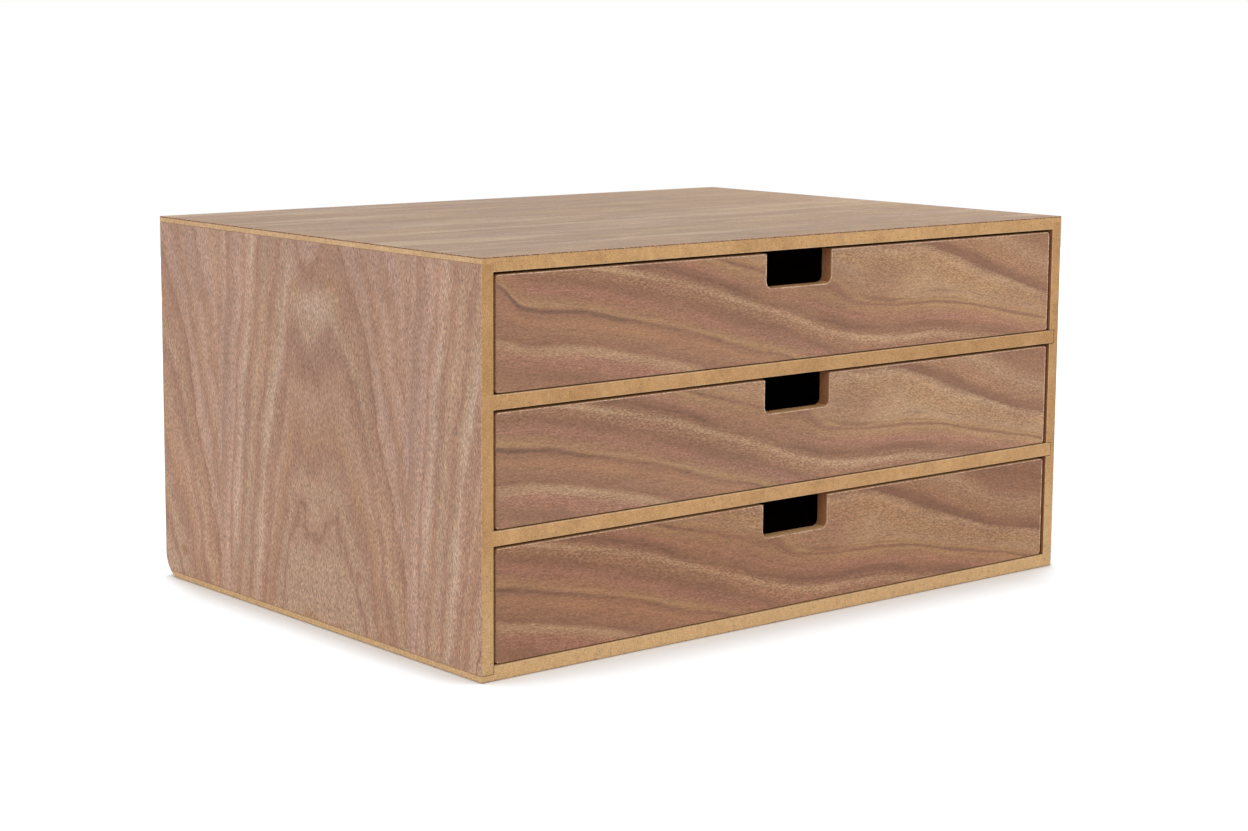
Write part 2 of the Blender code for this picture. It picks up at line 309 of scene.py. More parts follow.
def in_millimetres(tree, turn=(0, 0, 0), offset=(0, 0, 0)):
    """Object coordinates in millimetres, turned and then moved."""
    place = add(tree, "TexCoord")
    return add(
        tree,
        "Mapping",
        {
            "Vector": place.outputs["Object"],
            "Location": offset,
            "Rotation": turn,
            "Scale": (1000, 1000, 1000),
        },
    )


print("patches, bundles and fibres in mm:", PATCH, MOTTLE, DUST)


# %% Fibreboard finishes
def fibreboard(name, tones, speck_share, roughness, floor_light_share):
    """One finish of the board. Tones are the patches' two colours, a pale and a dark fibre."""
    low, high, pale, dark = (paint(code) for code in tones)
    material, tree = new_material(name)
    place = in_millimetres(tree)
    board = add(tree, "Attribute", attribute_name="board_tone")
    own = add(tree, "Math", {0: board.outputs["Fac"], 1: 40}, operation="MULTIPLY")

    patches = add(
        tree,
        "TexNoise",
        {"Vector": place, "W": own, "Scale": 1 / PATCH, "Detail": 2},
        noise_dimensions="4D",
    )
    drift = add(
        tree, "Math", {0: board.outputs["Fac"], 1: 0.5, 2: patches}, operation="MULTIPLY_ADD"
    )
    cloud = add(tree, "MapRange", {0: drift, 1: 0.45, 2: 1.05})
    colour = add(tree, "Mix", {0: cloud, 6: low, 7: high}, **BLENDED)
    axes = add(tree, "SeparateXYZ", {0: place})
    # Painted light from the white floor: paler and less saturated toward the bottom.
    floor_lit = add(tree, "MapRange", {0: axes.outputs["Z"], 1: FLOOR_LIGHT_TOP, 2: FLOOR_LIGHT_BOTTOM, 3: 0, 4: floor_light_share})
    colour = add(tree, "Mix", {0: floor_lit, 6: colour, 7: paint(FLOOR_LIT_TAN)}, **BLENDED)

    mottle = add(tree, "TexNoise", {"Vector": place, "Scale": 1 / MOTTLE, "Detail": 3})
    dust = add(tree, "TexNoise", {"Vector": place, "Scale": 1 / DUST, "Detail": 2})
    grit = add(tree, "Math", {0: mottle, 1: 0.5, 2: dust}, operation="MULTIPLY_ADD")
    value = add(
        tree, "MapRange", {0: grit, 1: 0.45, 2: 1.05, 3: 1 - GRIT_CONTRAST, 4: 1 + GRIT_CONTRAST}
    )
    colour = add(tree, "Mix", {0: 1, 6: colour, 7: value}, **SHADED)

    for spacing, tint in ((PALE_FIBRE, pale), (DARK_FIBRE, dark)):
        cells = add(tree, "TexVoronoi", {"Vector": place, "Scale": 1 / spacing})
        core = add(
            tree, "MapRange", {0: cells, 1: SPECK_SIZE / 2, 2: SPECK_SIZE, 3: speck_share, 4: 0}
        )
        some = add(
            tree, "Math", {0: cells.outputs["Color"], 1: SPECKLESS}, operation="GREATER_THAN"
        )
        share = add(tree, "Math", {0: core, 1: some}, operation="MULTIPLY")
        colour = add(tree, "Mix", {0: share, 6: colour, 7: tint}, **BLENDED)

    relief = add(tree, "Bump", {"Strength": 1.0, "Distance": SANDED_FUZZ * MM, "Height": dust})
    shader = add(
        tree,
        "BsdfPrincipled",
        {
            "Base Color": colour,
            "Roughness": roughness,
            "IOR": FIBRE_IOR,
            "Specular IOR Level": DRY_SHINE,
            "Normal": relief,
        },
    )
    add(tree, "OutputMaterial", {"Surface": shader})
    return material


mdf_edge = fibreboard(
    "fibreboard_sanded_edge", ("#af8456", "#cca170", "#dfc094", "#7d5836"), 0.75, 0.78, 0.75
)
mdf_face = fibreboard(
    "fibreboard_pressed_face", ("#b18a60", "#c09b70", "#d5b68e", "#8f6b48"), 0.35, 0.70, 0.5
)
mdf_arris = fibreboard(
    "fibreboard_eased_corner", ("#c9a478", "#d6b58a", "#e9d0ab", "#a07c54"), 0.5, 0.80, 0.5
)
# Painted light: a paler copy of the edge finish, for the outer ends of the top and bottom boards.
mdf_end_painted_light = fibreboard(
    "fibreboard_sanded_end_painted_light", ("#bb966b", "#cfab84", "#e2c6a0", "#8a6844"), 0.65, 0.78, 0.6
)
# Painted shade: a darker, redder brown for the notch walls and the bay walls behind the fronts.
mdf_painted_gap_shade = fibreboard(
    "fibreboard_painted_gap_shade", ("#87593b", "#9c6d49", "#b48a60", "#64422b"), 0.4, 0.72, 0.0
)
for finish in (mdf_edge, mdf_face, mdf_arris, mdf_end_painted_light, mdf_painted_gap_shade):
    print(finish.name)

# %% [markdown]
# ## Walnut
#
# The veneer is half a millimetre of walnut, sliced from a log, glued down and sealed with a thin
# matt lacquer. Four things make it read as wood, from coarse to fine: the figure, which is the
# yearly rings seen at a slant, the drift of its colour between pink and tan, the long fibres,
# and the pores, which are short dark dashes. Where the fibres dip in and out of the surface, the
# dashes stand out more strongly, as rows of pale and dark flecks: the wood shimmers there.
#
# Only the figure differs from sheet to sheet. So each sheet's own function gives a level, which
# is the number of the ring in millimetres, and a direction along the grain. A colour ramp turns
# the level into tones, and one shared function lays the fibres and pores along the grain. How a
# figure bends is easiest to note down as a table of places read off the wood. A Float Curve
# draws a smooth line through such a table.

# %% Walnut tones
SIDE_TONES = {
    "pale": "#bea08c",
    "honey": "#b09076",
    "tan": "#ae8972",
    "amber": "#a57e62",
    "mid": "#a37d67",
    "pink": "#b69383",
    "brown": "#9d755f",
    "dark": "#8d6651",
    "rust": "#9c6b50",
    "fleck": "#ccb09b",
}
FRONT_TONES = {
    "pale": "#b39071",
    "gold": "#b08a64",
    "peach": "#ab7e5d",
    "tan": "#a3795b",
    "mid": "#9a7055",
    "pink": "#a1725d",
    "brown": "#8d644c",
    "dark": "#7f5843",
    "streak": "#664935",
    "rust": "#9a6447",
    "fleck": "#c3a083",
}
TOP_TONES = {
    "pale": "#b49a7b",
    "tan": "#a68867",
    "mid": "#99795b",
    "pink": "#a3826b",
    "brown": "#86694f",
    "dark": "#80664f",
    "rust": "#94725b",
    "fleck": "#bda489",
}
print("walnut tones of the sides:", ", ".join(SIDE_TONES))

# %% Sizes of the grain
FADE_LENGTH, FADE_WIDTH = 45, 14  # mm, places where the figure fades
DRIFT_LENGTH, DRIFT_WIDTH = 70, 22  # mm
RUST_LENGTH, RUST_WIDTH = 13, 4.5  # mm, small reddish places
VEIN_LENGTH, VEIN_WIDTH = 50, 1.3  # mm, single dark lines
RING_LENGTH, RING_WIDTH = 110, 2.3  # mm, thin lines between the broad bands
FIBRE_LENGTH, FIBRE_WIDTH = 11, 0.9  # mm, drawn twice as wide as real, so that they show
DASH_LENGTH, DASH_WIDTH = 1.6, 0.5  # mm, ends of fibres, also drawn wide
PORE_LENGTH, PORE_WIDTH = 2.2, 0.5  # mm
PORE_DEPTH = 0.03  # mm
FIBRE_CONTRAST = 0.13
DRIFT_SHADE = 0.12
SHIMMER_CONTRAST = 0.7  # of the dashes, on top of their own where the wood shimmers
NOISE_REACH = 0.3  # noise stays within about this much of 0.5
FLECK_SHARE, PORE_SHARE = 0.5, 0.45
PORE_TONE = "#6d4b38"
ROUGHEST, SMOOTHEST = 0.55 + 0.06, 0.55 - 0.06  # roughness, from fibre to fibre
LACQUER_IOR = 1.50
LINES_MOST, LINES_LEAST = 1.7, 0.3  # times the lines' contrast: figure clear, figure faded

print("a fibre is", round(FIBRE_LENGTH / FIBRE_WIDTH), "times as long as it is wide")


# %% From a level to its tone
def tinted(tones, tint="#ffffff"):
    """The tones in linear light, all seen through the same tint."""
    glass = paint(tint)
    return {
        name: [share * part for share, part in zip(paint(code), glass)]
        for name, code in tones.items()
    }


def ring_tones(tree, level, bands, tones):
    """A ramp from level to walnut tones. Bands are (level, tone, shimmer), in rising order."""
    low, high = bands[0][0], bands[-1][0]
    place = add(tree, "MapRange", {0: level, 1: low, 2: high})
    ramp = add(tree, "ValToRGB", {0: place})
    stops = ramp.color_ramp.elements
    stops[0].position, stops[1].position = 0, 1
    for at, _, _ in bands[1:-1]:
        stops.new((at - low) / (high - low))
    for stop, (at, tone, shimmer) in zip(stops, bands):
        stop.position = (at - low) / (high - low)
        stop.color = (*tones[tone][:3], shimmer)
    ramp.color_ramp.interpolation = "EASE"
    return ramp


def read_table(tree, place, table):
    """The value at a place, on a smooth line through the table's (place, value) rows."""
    start, end = table[0][0], table[-1][0]
    low, high = min(row[1] for row in table), max(row[1] for row in table)
    drawn = [((at - start) / (end - start), (value - low) / (high - low)) for at, value in table]
    share = add(tree, "MapRange", {0: place, 1: start, 2: end})
    line = add(tree, "FloatCurve", {"Value": share})
    points = line.mapping.curves[0].points
    for spot in drawn[1:-1]:
        points.new(*spot)
    for point, spot in zip(points, drawn):
        point.location = spot
    line.mapping.update()
    return add(tree, "MapRange", {0: line, 3: low, 4: high})


print("darkest top tone in linear light:", [round(v, 3) for v in tinted(TOP_TONES)["dark"]])


# %% Noise along the grain
def streaks(tree, along, across, length, width, seed, detail=2):
    """Noise drawn out along the grain: each streak is about length by width, in mm."""
    flat = add(tree, "CombineXYZ", {0: along, 1: across})
    stretched = add(
        tree, "VectorMath", {0: flat, 1: (1 / length, 1 / width, 1)}, operation="MULTIPLY"
    )
    # Noise repeats its cells along its own axes, so it is turned to hide their rows.
    turned_cells = add(tree, "Mapping", {"Vector": stretched, "Rotation": (0.6, 0.45, 0.9)})
    return add(
        tree,
        "TexNoise",
        {"Vector": turned_cells, "W": seed, "Scale": 1, "Detail": detail},
        noise_dimensions="4D",
    )


def swing(tree, pattern, reach, middle):
    """The middle, plus or minus what the pattern swings about 0.5, times the reach."""
    centred = add(tree, "Math", {0: pattern, 1: 0.5}, operation="SUBTRACT")
    return add(tree, "Math", {0: centred, 1: reach, 2: middle}, operation="MULTIPLY_ADD")


def wander(tree, value, along, across, bends, seed):
    """The value with noise added. Each bend is the length, width and reach of one noise in mm."""
    for length, width, reach in bends:
        value = swing(tree, streaks(tree, along, across, length, width, seed), reach, value)
    return value


print("with a reach of 1, a noise swings by about", NOISE_REACH)


# %% The walnut finish
def walnut(name, figure, tones, lines, stipple):
    """A walnut finish. The figure gives tones, shimmer, level, along, across and a seed. Lines
    is the contrast of the thin lines between the bands, and stipple that of the dashes."""
    material, tree = new_material(name)
    colour, shimmer, level, along, across, seed = figure(tree)

    fading = streaks(tree, along, level, FADE_LENGTH, FADE_WIDTH, seed + 7)
    hue = streaks(tree, along, level, DRIFT_LENGTH, DRIFT_WIDTH, seed + 1)
    rusty = streaks(tree, along, across, RUST_LENGTH, RUST_WIDTH, seed + 9)
    veins = streaks(tree, along, level, VEIN_LENGTH, VEIN_WIDTH, seed + 5, detail=1)
    # Each noise adds its tone between the value where it starts and the one where it is full.
    for pattern, start, full, most, tone in (
        (fading, 0.45, 0.68, 0.6, "mid"), (hue, 0.5, 0.72, 0.4, "pink"),
        (hue, 0.5, 0.28, 0.4, "tan"), (rusty, 0.56, 0.76, 0.25, "rust"),
        (veins, 0.63, 0.74, 0.45, "dark"),
    ):
        share = add(tree, "MapRange", {0: pattern, 1: start, 2: full, 3: 0, 4: most})
        colour = add(tree, "Mix", {0: share, 6: colour, 7: tones[tone]}, **BLENDED)

    fibres = streaks(tree, along, across, FIBRE_LENGTH, FIBRE_WIDTH, seed + 3)
    dashes = streaks(tree, along, across, DASH_LENGTH, DASH_WIDTH, seed + 6, detail=1)
    strength = add(
        tree, "Math", {0: shimmer, 1: SHIMMER_CONTRAST, 2: stipple}, operation="MULTIPLY_ADD"
    )
    values = [swing(tree, dashes, strength, 1)]
    for pattern, depth in ((fibres, FIBRE_CONTRAST), (hue, -DRIFT_SHADE)):
        values.append(
            add(tree, "MapRange", {0: pattern, 1: 0.2, 2: 0.8, 3: 1 - depth, 4: 1 + depth})
        )
    # The thin lines fade together with the figure.
    kept = add(tree, "MapRange", {0: fading, 1: 0.38, 2: 0.62, 3: LINES_MOST, 4: LINES_LEAST})
    for length, width, shift in (
        (RING_LENGTH, RING_WIDTH, 2), (RING_LENGTH / 2, RING_WIDTH / 2.6, 8)
    ):
        pattern = streaks(tree, along, level, length, width, seed + shift)
        depth = add(tree, "Math", {0: kept, 1: lines / NOISE_REACH}, operation="MULTIPLY")
        values.append(swing(tree, pattern, depth, 1))
    for value in values:
        colour = add(tree, "Mix", {0: 1, 6: colour, 7: value}, **SHADED)

    bright = add(tree, "MapRange", {0: dashes, 1: 0.5, 2: 0.7, 3: 0, 4: FLECK_SHARE})
    lit = add(tree, "Math", {0: bright, 1: shimmer}, operation="MULTIPLY")
    colour = add(tree, "Mix", {0: lit, 6: colour, 7: tones["fleck"]}, **BLENDED)

    pores = streaks(tree, along, across, PORE_LENGTH, PORE_WIDTH, seed + 4, detail=1)
    cut = add(tree, "MapRange", {0: pores, 1: 0.40, 2: 0.28, 3: 0, 4: PORE_SHARE})
    colour = add(tree, "Mix", {0: cut, 6: colour, 7: paint(PORE_TONE)}, **BLENDED)
    relief = add(tree, "Bump", {"Strength": 0.8, "Distance": PORE_DEPTH * MM, "Height": pores})
    gloss = add(tree, "MapRange", {0: fibres, 1: 0.25, 2: 0.75, 3: ROUGHEST, 4: SMOOTHEST})
    shader = add(
        tree,
        "BsdfPrincipled",
        {"Base Color": colour, "Roughness": gloss, "IOR": LACQUER_IOR, "Normal": relief},
    )
    add(tree, "OutputMaterial", {"Surface": shader})
    return material


mirrored_share = ((LACQUER_IOR - 1) / (LACQUER_IOR + 1)) ** 2
print("seen straight on, the lacquer mirrors", round(mirrored_share, 3), "of the light")

# %% [markdown]
# ## The figure of the drawer fronts
#
# The three fronts are cut from one leaf, whose rings run in long waves that fall from left to
# right. A table gives how far the wave has dropped at each place along the leaf. What is left of
# the depth under the upper edge after taking that away is the level, so a ring stays on one
# level all along its wave. The fibres themselves run flatter than the rings that they cross.
# Along the leaf the fronts are painted darker toward the middle and lighter toward the right end,
# as painted light. Two more tables move the upper rings down or up along the leaf, where they run
# steeper or spread apart.
# One ring is a dark vein that fades out. The fronts below were cut a little further along the
# same leaf, so each slides the pattern by 18 mm and cuts slightly deeper into it, which the
# fourth dimension of the noise stands for.

# %% The leaf of the fronts
WAVE = (  # mm along the leaf, mm that the rings have dropped
    (0, 3.2), (12, 6.0), (22, 7.5), (38, 8.7), (54, 11.5), (76, 15.8), (104, 22.4), (139, 32.2),
    (171, 41), (201, 51.5), (220, 55.5), (240, 57), (258, 57), (278, 58), (305, 62.5), (325, 66.5),
    (351, 72.5), (400, 84),
)
# Painted light along the leaf: darker toward the middle, lighter toward the right end.
FRONT_PAINTED_LIGHT = (  # mm along the leaf, brightness
    (0, 0.95), (90, 0.97), (160, 0.88), (205, 0.95), (245, 1.06), (300, 1.02), (350, 1.03),
    (400, 1.0),
)
# The lower front is painted darker toward its right end.
LOWER_FRONT_PAINTED_LIGHT = (*FRONT_PAINTED_LIGHT[:4], (245, 1.01), (300, 0.92), (400, 0.90))
FRONT_RINGS = (  # level in mm, tone, shimmer
    (-80, "brown", 0.1), (-72, "mid", 0.1), (-64, "pale", 0.6), (-54, "tan", 0.4),
    (-49.5, "brown", 0.0), (-47, "dark", 0.0), (-43.5, "pale", 0.9), (-38, "gold", 0.8),
    (-33.5, "pale", 0.3), (-30.5, "gold", 0.0), (-28.8, "brown", 0.0), (-27.5, "gold", 0.0),
    (-24.5, "tan", 0.1), (-21.5, "pink", 0.2), (-18.5, "brown", 0.0), (-16.2, "dark", 0.0),
    (-14, "brown", 0.3), (-11.5, "pale", 1.0), (-8.5, "mid", 0.6), (-4, "brown", 0.1),
    (1, "pink", 0.2), (4.5, "tan", 0.1), (7, "gold", 0.0), (9.3, "brown", 0.0), (10.4, "mid", 0.0),
    (13.5, "peach", 0.0), (18, "mid", 0.1), (22.5, "brown", 0.0), (25.5, "pale", 0.4),
    (31, "pink", 0.4), (37.5, "brown", 0.0), (50, "mid", 0.1),
)
print("the leaf's wave drops", WAVE[-1][1] - WAVE[0][1], "mm over", WAVE[-1][0], "mm")

# %% Drawer-front figure
FRONT_BENDS = ((70, 16, 7.0), (20, 5, 2.3), (6, 1.6, 0.5))  # length, width and reach in mm
FIBRE_FALL = 0.4  # how much of the wave's drop the fibres follow
HOOK_LENGTH, HOOK_RISE, HOOK_DEPTH = 18, 7, 26  # mm, where the rings bend up at the leaf's end
HOOK_FULL, SHIFT_FULL = 4, 8  # mm below the upper edge, where the hook and the tables are full
VEIN_LEVEL, VEIN_CORE, VEIN_SIDE = 9.3, 0.3, 1.4  # mm, one dark vein and how wide it is
VEIN_FADE, VEIN_END = 60, 125  # mm along the leaf, over which it fades out
STEEPER = ((0, 0), (300, 0), (354, 8), (400, 10))  # mm along, mm that the upper rings move down
SPREAD = ((0, 0), (175, 0), (205, -10), (250, -11), (272, -8), (300, -3), (330, 0), (400, 0))
STEEP_DEPTH, SPREAD_DEPTH = 46, 28  # mm below the upper edge, where that ends
HALF_FRONT = 176.7  # mm
FIRST_SEED = 3.0
SLIDE = 18  # mm along the leaf, from one front to the next
FRONTS = {  # drawer: (slides, depth in the leaf, painted light along the leaf, tint)
    "upper": (0, 0.00, FRONT_PAINTED_LIGHT, "#fffbf3"),
    "middle": (1, 0.12, FRONT_PAINTED_LIGHT, "#fffefa"),
    "lower": (2, 0.22, LOWER_FRONT_PAINTED_LIGHT, "#f9f0e5"),
}


def front_figure(top_height, slide, depth, painted_light_table, tones):
    """The figure of one front, from the height of its upper edge and its slide along the leaf."""

    def figure(tree):
        leaf = in_millimetres(tree, offset=(HALF_FRONT + slide, 0, -top_height))
        axes = add(tree, "SeparateXYZ", {0: leaf})
        along, height = axes.outputs["X"], axes.outputs["Z"]
        dropped = read_table(tree, along, WAVE)
        at_end = add(
            tree,
            "MapRange",
            {0: along, 1: 0, 2: HOOK_LENGTH, 3: HOOK_RISE, 4: 0},
            interpolation_type="SMOOTHERSTEP",
        )
        near_top = add(
            tree,
            "MapRange",
            {0: height, 1: -HOOK_DEPTH, 2: -HOOK_FULL, 3: 0, 4: 1},
            interpolation_type="SMOOTHSTEP",
        )
        hook = add(tree, "Math", {0: at_end, 1: near_top}, operation="MULTIPLY")
        hooked = add(tree, "Math", {0: hook, 1: height}, operation="SUBTRACT")
        even = add(tree, "Math", {0: hooked, 1: dropped}, operation="SUBTRACT")
        for table, depth_of_end in ((STEEPER, STEEP_DEPTH), (SPREAD, SPREAD_DEPTH)):
            share = add(
                tree,
                "MapRange",
                {0: height, 1: -depth_of_end, 2: -SHIFT_FULL, 3: 0, 4: 1},
                interpolation_type="SMOOTHSTEP",
            )
            shift = read_table(tree, along, table)
            moved = add(tree, "Math", {0: shift, 1: share}, operation="MULTIPLY")
            even = add(tree, "Math", {0: even, 1: moved}, operation="SUBTRACT")
        seed = FIRST_SEED + depth
        level = wander(tree, even, along, even, FRONT_BENDS, seed)
        ramp = ring_tones(tree, level, FRONT_RINGS, tones)
        beside = add(tree, "Math", {0: level, 1: VEIN_LEVEL}, operation="SUBTRACT")
        off_vein = add(tree, "Math", {0: beside}, operation="ABSOLUTE")
        vein = add(tree, "MapRange", {0: off_vein, 1: VEIN_CORE, 2: VEIN_SIDE, 3: 1, 4: 0})
        kept = add(tree, "MapRange", {0: along, 1: VEIN_FADE, 2: VEIN_END, 3: 1, 4: 0})
        drawn = add(tree, "Math", {0: vein, 1: kept}, operation="MULTIPLY")
        colour = add(
            tree, "Mix", {0: drawn, 6: ramp.outputs["Color"], 7: tones["streak"]}, **BLENDED
        )
        # Painted light along the leaf.
        light = read_table(tree, along, painted_light_table)
        colour = add(tree, "Mix", {0: 1, 6: colour, 7: light}, **SHADED)
        across = add(tree, "Math", {0: dropped, 1: FIBRE_FALL, 2: height}, operation="MULTIPLY_ADD")
        return colour, ramp.outputs["Alpha"], level, along, across, seed

    return figure


front_walnut = {}
for drawer, (slides, depth, painted_light_table, tint) in FRONTS.items():
    upper_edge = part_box(f"{drawer}_drawer_front_veneer")[1].z / MM
    tones = tinted(FRONT_TONES, tint)
    front_walnut[drawer] = walnut(
        f"walnut_figured_{drawer}_front",
        front_figure(upper_edge, slides * SLIDE, depth, painted_light_table, tones),
        tones,
        lines=0.055,
        stipple=1.25,
    )
print("figured fronts:", ", ".join(front_walnut))

# %% [markdown]
# ## The figure of the sides
#
# A side is wider than the log that gave the veneer, so it is put together from leaves 157 mm
# wide, cut one after the other from the same place. Each shows the same crown of arches, a
# little lower than in the leaf before it. Crown cut means that the knife passed along the log
# near its heart: the rings climb from both edges of a leaf and close in arches in its middle.
#
# The level is what a table of the arch's shape gives at a place across the leaf, plus a fifth
# of the height, so the arches stand five times as far apart as the bands down the leaf's edges.
# The crown itself is flat on top, with a dip that deepens upwards. The rings of the left and
# the right leg differ outside the crown. High up in the crown the wood shimmers in an oval
# patch. A pin knot, where a twig died off, lifts the level in a small spot, and the rings close
# around it.

# %% The arches of a leaf
LEAF_WIDTH = 157  # mm
LEAF_STEP = 14  # mm that the figure sinks from one leaf to the next
FIRST_JOIN = 55  # mm from the front edge
LEAF_MIDDLE = 70  # mm from the leaf's left edge to the middle of its crown
ARCH = (  # mm from the crown's middle, level
    (-80, 36), (-70, 30), (-60, 24), (-52.5, 19), (-43, 11.5), (-39, 9.1), (-28, 4), (-17.5, 0.5),
    (0, 0), (18, 0), (22.5, 1), (26, 4.5), (35, 11), (45, 20), (47.5, 24), (55, 33), (58.75, 38),
    (72.5, 61), (82.5, 83), (90, 98),
)
CLIMB = (  # mm from the crown's middle, level for each mm of height
    (-80, 0.2), (-30, 0.2), (-12, 0.198), (7, 0.222), (18, 0.2), (30, 0.2), (90, 0.2),
)
SIDE_BENDS = ((60, 26, 15), (32, 10, 3.6), (9, 3, 0.7))  # length, width and reach in mm
LEVEL_BENDS = ((20, 14, 8),)
# Painted light on the sides: brighter toward the rear, and toward the foot, which the white floor
# lights.
SIDE_PAINTED_LIGHT = ((-60, 0.98), (0, 0.99), (90, 0.97), (150, 1.01), (200, 1.06), (270, 1.13))  # by depth
FOOT_PAINTED_LIGHT = ((0, 1.13), (50, 1.08), (100, 1.0), (160, 0.99), (182, 0.95), (225, 0.95))  # by height

print("height in mm that one level of the arches takes:", round(1 / CLIMB[0][1], 1))

# %% The rings of a leaf
CROWN_RINGS = (
    (0, "amber", 0.3), (1.5, "honey", 0.6), (7, "honey", 0.5), (9.1, "tan", 0.1),
    (9.9, "dark", 0.0), (10.9, "tan", 0.0), (12.5, "honey", 0.5), (15.5, "mid", 0.1),
    (17.3, "brown", 0.0), (18.5, "amber", 0.1), (22, "tan", 0.1), (24.5, "mid", 0.1),
    (25.6, "brown", 0.0),
)
LEFT_LEG_RINGS = (
    (26.4, "brown", 0.0), (28, "mid", 0.2), (29.5, "honey", 0.3), (31.5, "amber", 0.3),
    (33.5, "mid", 0.1), (35.6, "brown", 0.0), (36.4, "dark", 0.0), (37.4, "tan", 0.2),
    (40, "pink", 0.1), (43, "mid", 0.0), (43.8, "brown", 0.0), (45, "tan", 0.0), (50, "pink", 0.1),
    (54, "mid", 0.0), (58, "pink", 0.1), (66, "tan", 0.0), (73, "pink", 0.1), (110, "pink", 0.1),
)
RIGHT_LEG_RINGS = (
    (27.5, "mid", 0.2), (31, "tan", 0.3), (34, "pale", 0.4), (39, "honey", 0.3), (42, "mid", 0.1),
    (43.5, "brown", 0.0), (45, "tan", 0.1), (51, "honey", 0.2), (57, "mid", 0.0),
    (58.5, "brown", 0.0), (60.5, "tan", 0.0), (66, "pale", 0.3), (71, "pink", 0.1),
    (76, "mid", 0.0), (79, "pink", 0.2), (104, "mid", 0.0), (108, "pink", 0.2), (120, "tan", 0.1),
    (135, "pink", 0.1),
)
print("rings in the crown and the legs:", len(CROWN_RINGS + LEFT_LEG_RINGS + RIGHT_LEG_RINGS))

# %% Side figure
FLAME_PLACE, FLAME_REACH = (3, 149), (19, 14)  # mm across and up, in each leaf
PIN_KNOTS = (  # mm from the front, mm up, rise of the level
    (93, 29, 8),
    (247, 16, 6),
    (33, 149, 5),
    (115, 88, 5),
)
KNOT_REACH = 5  # mm
KNOT_HEART, KNOT_DARKNESS = 2.6, 0.7  # mm, its dark middle, and how dark that is
LEG_START, LEG_FULL = 12, 24  # mm from the crown's middle, where the right leg's rings take over
FLAME_SHARE = 0.8
SIDES = {  # side: (1 if the leaves run from front to rear, start and sink in mm, seed)
    "left": (1, 0, 0, 11.0),
    "right": (-1, 40, 35, 17.0),
}


def side_figure(outward, start, sink, seed, tones):
    """The figure of a side. Outward is 1 where the leaves run from front to rear."""

    def figure(tree):
        front_edge = cad_box[0].y / MM
        sheet = in_millimetres(tree, offset=(0, -front_edge + start, sink))
        axes = add(tree, "SeparateXYZ", {0: sheet})
        depth = add(
            tree,
            "Math",
            {0: axes.outputs["Y"], 1: outward, 2: -FIRST_JOIN},
            operation="MULTIPLY_ADD",
        )
        share = add(tree, "Math", {0: depth, 1: LEAF_WIDTH}, operation="DIVIDE")
        leaf = add(tree, "Math", {0: share}, operation="FLOOR")
        within = add(tree, "Math", {0: share, 1: leaf}, operation="SUBTRACT")
        across = add(
            tree, "Math", {0: within, 1: LEAF_WIDTH, 2: -LEAF_MIDDLE}, operation="MULTIPLY_ADD"
        )
        along = add(
            tree, "Math", {0: leaf, 1: LEAF_STEP, 2: axes.outputs["Z"]}, operation="MULTIPLY_ADD"
        )
        bent = wander(tree, across, along, across, SIDE_BENDS, seed)
        arch = read_table(tree, bent, ARCH)
        climb = read_table(tree, bent, CLIMB)
        risen = add(tree, "Math", {0: along, 1: climb, 2: arch}, operation="MULTIPLY_ADD")
        level = wander(tree, risen, along, across, LEVEL_BENDS, seed + 0.4)
        in_heart = 0
        seen_flat = add(tree, "VectorMath", {0: sheet, 1: (0, 1, 1)}, operation="MULTIPLY")
        for knot_depth, knot_height, rise in PIN_KNOTS:
            heart = (0, outward * knot_depth, knot_height)
            away = add(tree, "VectorMath", {0: seen_flat, 1: heart}, operation="DISTANCE")
            lift = add(
                tree,
                "MapRange",
                {0: away, 1: KNOT_REACH, 2: 0, 3: 0, 4: rise},
                interpolation_type="SMOOTHERSTEP",
            )
            level = add(tree, "Math", {0: level, 1: lift}, operation="ADD")
            core = add(tree, "MapRange", {0: away, 1: KNOT_HEART, 2: 0.4, 3: 0, 4: KNOT_DARKNESS})
            in_heart = add(tree, "Math", {0: core, 1: in_heart}, operation="MAXIMUM")

        left = ring_tones(tree, level, CROWN_RINGS + LEFT_LEG_RINGS, tones)
        right = ring_tones(tree, level, CROWN_RINGS + RIGHT_LEG_RINGS, tones)
        leg = add(tree, "MapRange", {0: bent, 1: LEG_START, 2: LEG_FULL})
        colour = add(
            tree, "Mix", {0: leg, 6: left.outputs["Color"], 7: right.outputs["Color"]}, **BLENDED
        )
        shimmer = add(tree, "Mix", {0: leg, 2: left.outputs["Alpha"], 3: right.outputs["Alpha"]})
        across_up = add(tree, "CombineXYZ", {0: bent, 1: along})
        about_flame = add(
            tree,
            "Mapping",
            {
                "Vector": across_up,
                "Location": [-at / reach for at, reach in zip(FLAME_PLACE, FLAME_REACH)] + [0],
                "Scale": [1 / reach for reach in FLAME_REACH] + [0],
            },
        )
        away = add(tree, "VectorMath", {0: about_flame}, operation="LENGTH")
        flame = add(
            tree,
            "MapRange",
            {0: away, 1: 1, 2: 0.2, 3: 0, 4: FLAME_SHARE},
            interpolation_type="SMOOTHSTEP",
        )
        colour = add(tree, "Mix", {0: flame, 6: colour, 7: tones["pale"]}, **BLENDED)
        colour = add(tree, "Mix", {0: in_heart, 6: colour, 7: tones["dark"]}, **BLENDED)
        from_front = add(tree, "Math", {0: depth, 1: FIRST_JOIN}, operation="ADD")
        # Painted light: brighter toward the rear and toward the foot.
        for at, table in ((from_front, SIDE_PAINTED_LIGHT), (axes.outputs["Z"], FOOT_PAINTED_LIGHT)):
            colour = add(tree, "Mix", {0: 1, 6: colour, 7: read_table(tree, at, table)}, **SHADED)
        shimmer = add(tree, "Math", {0: shimmer, 1: flame}, operation="MAXIMUM")
        return colour, shimmer, level, along, across, seed

    return figure


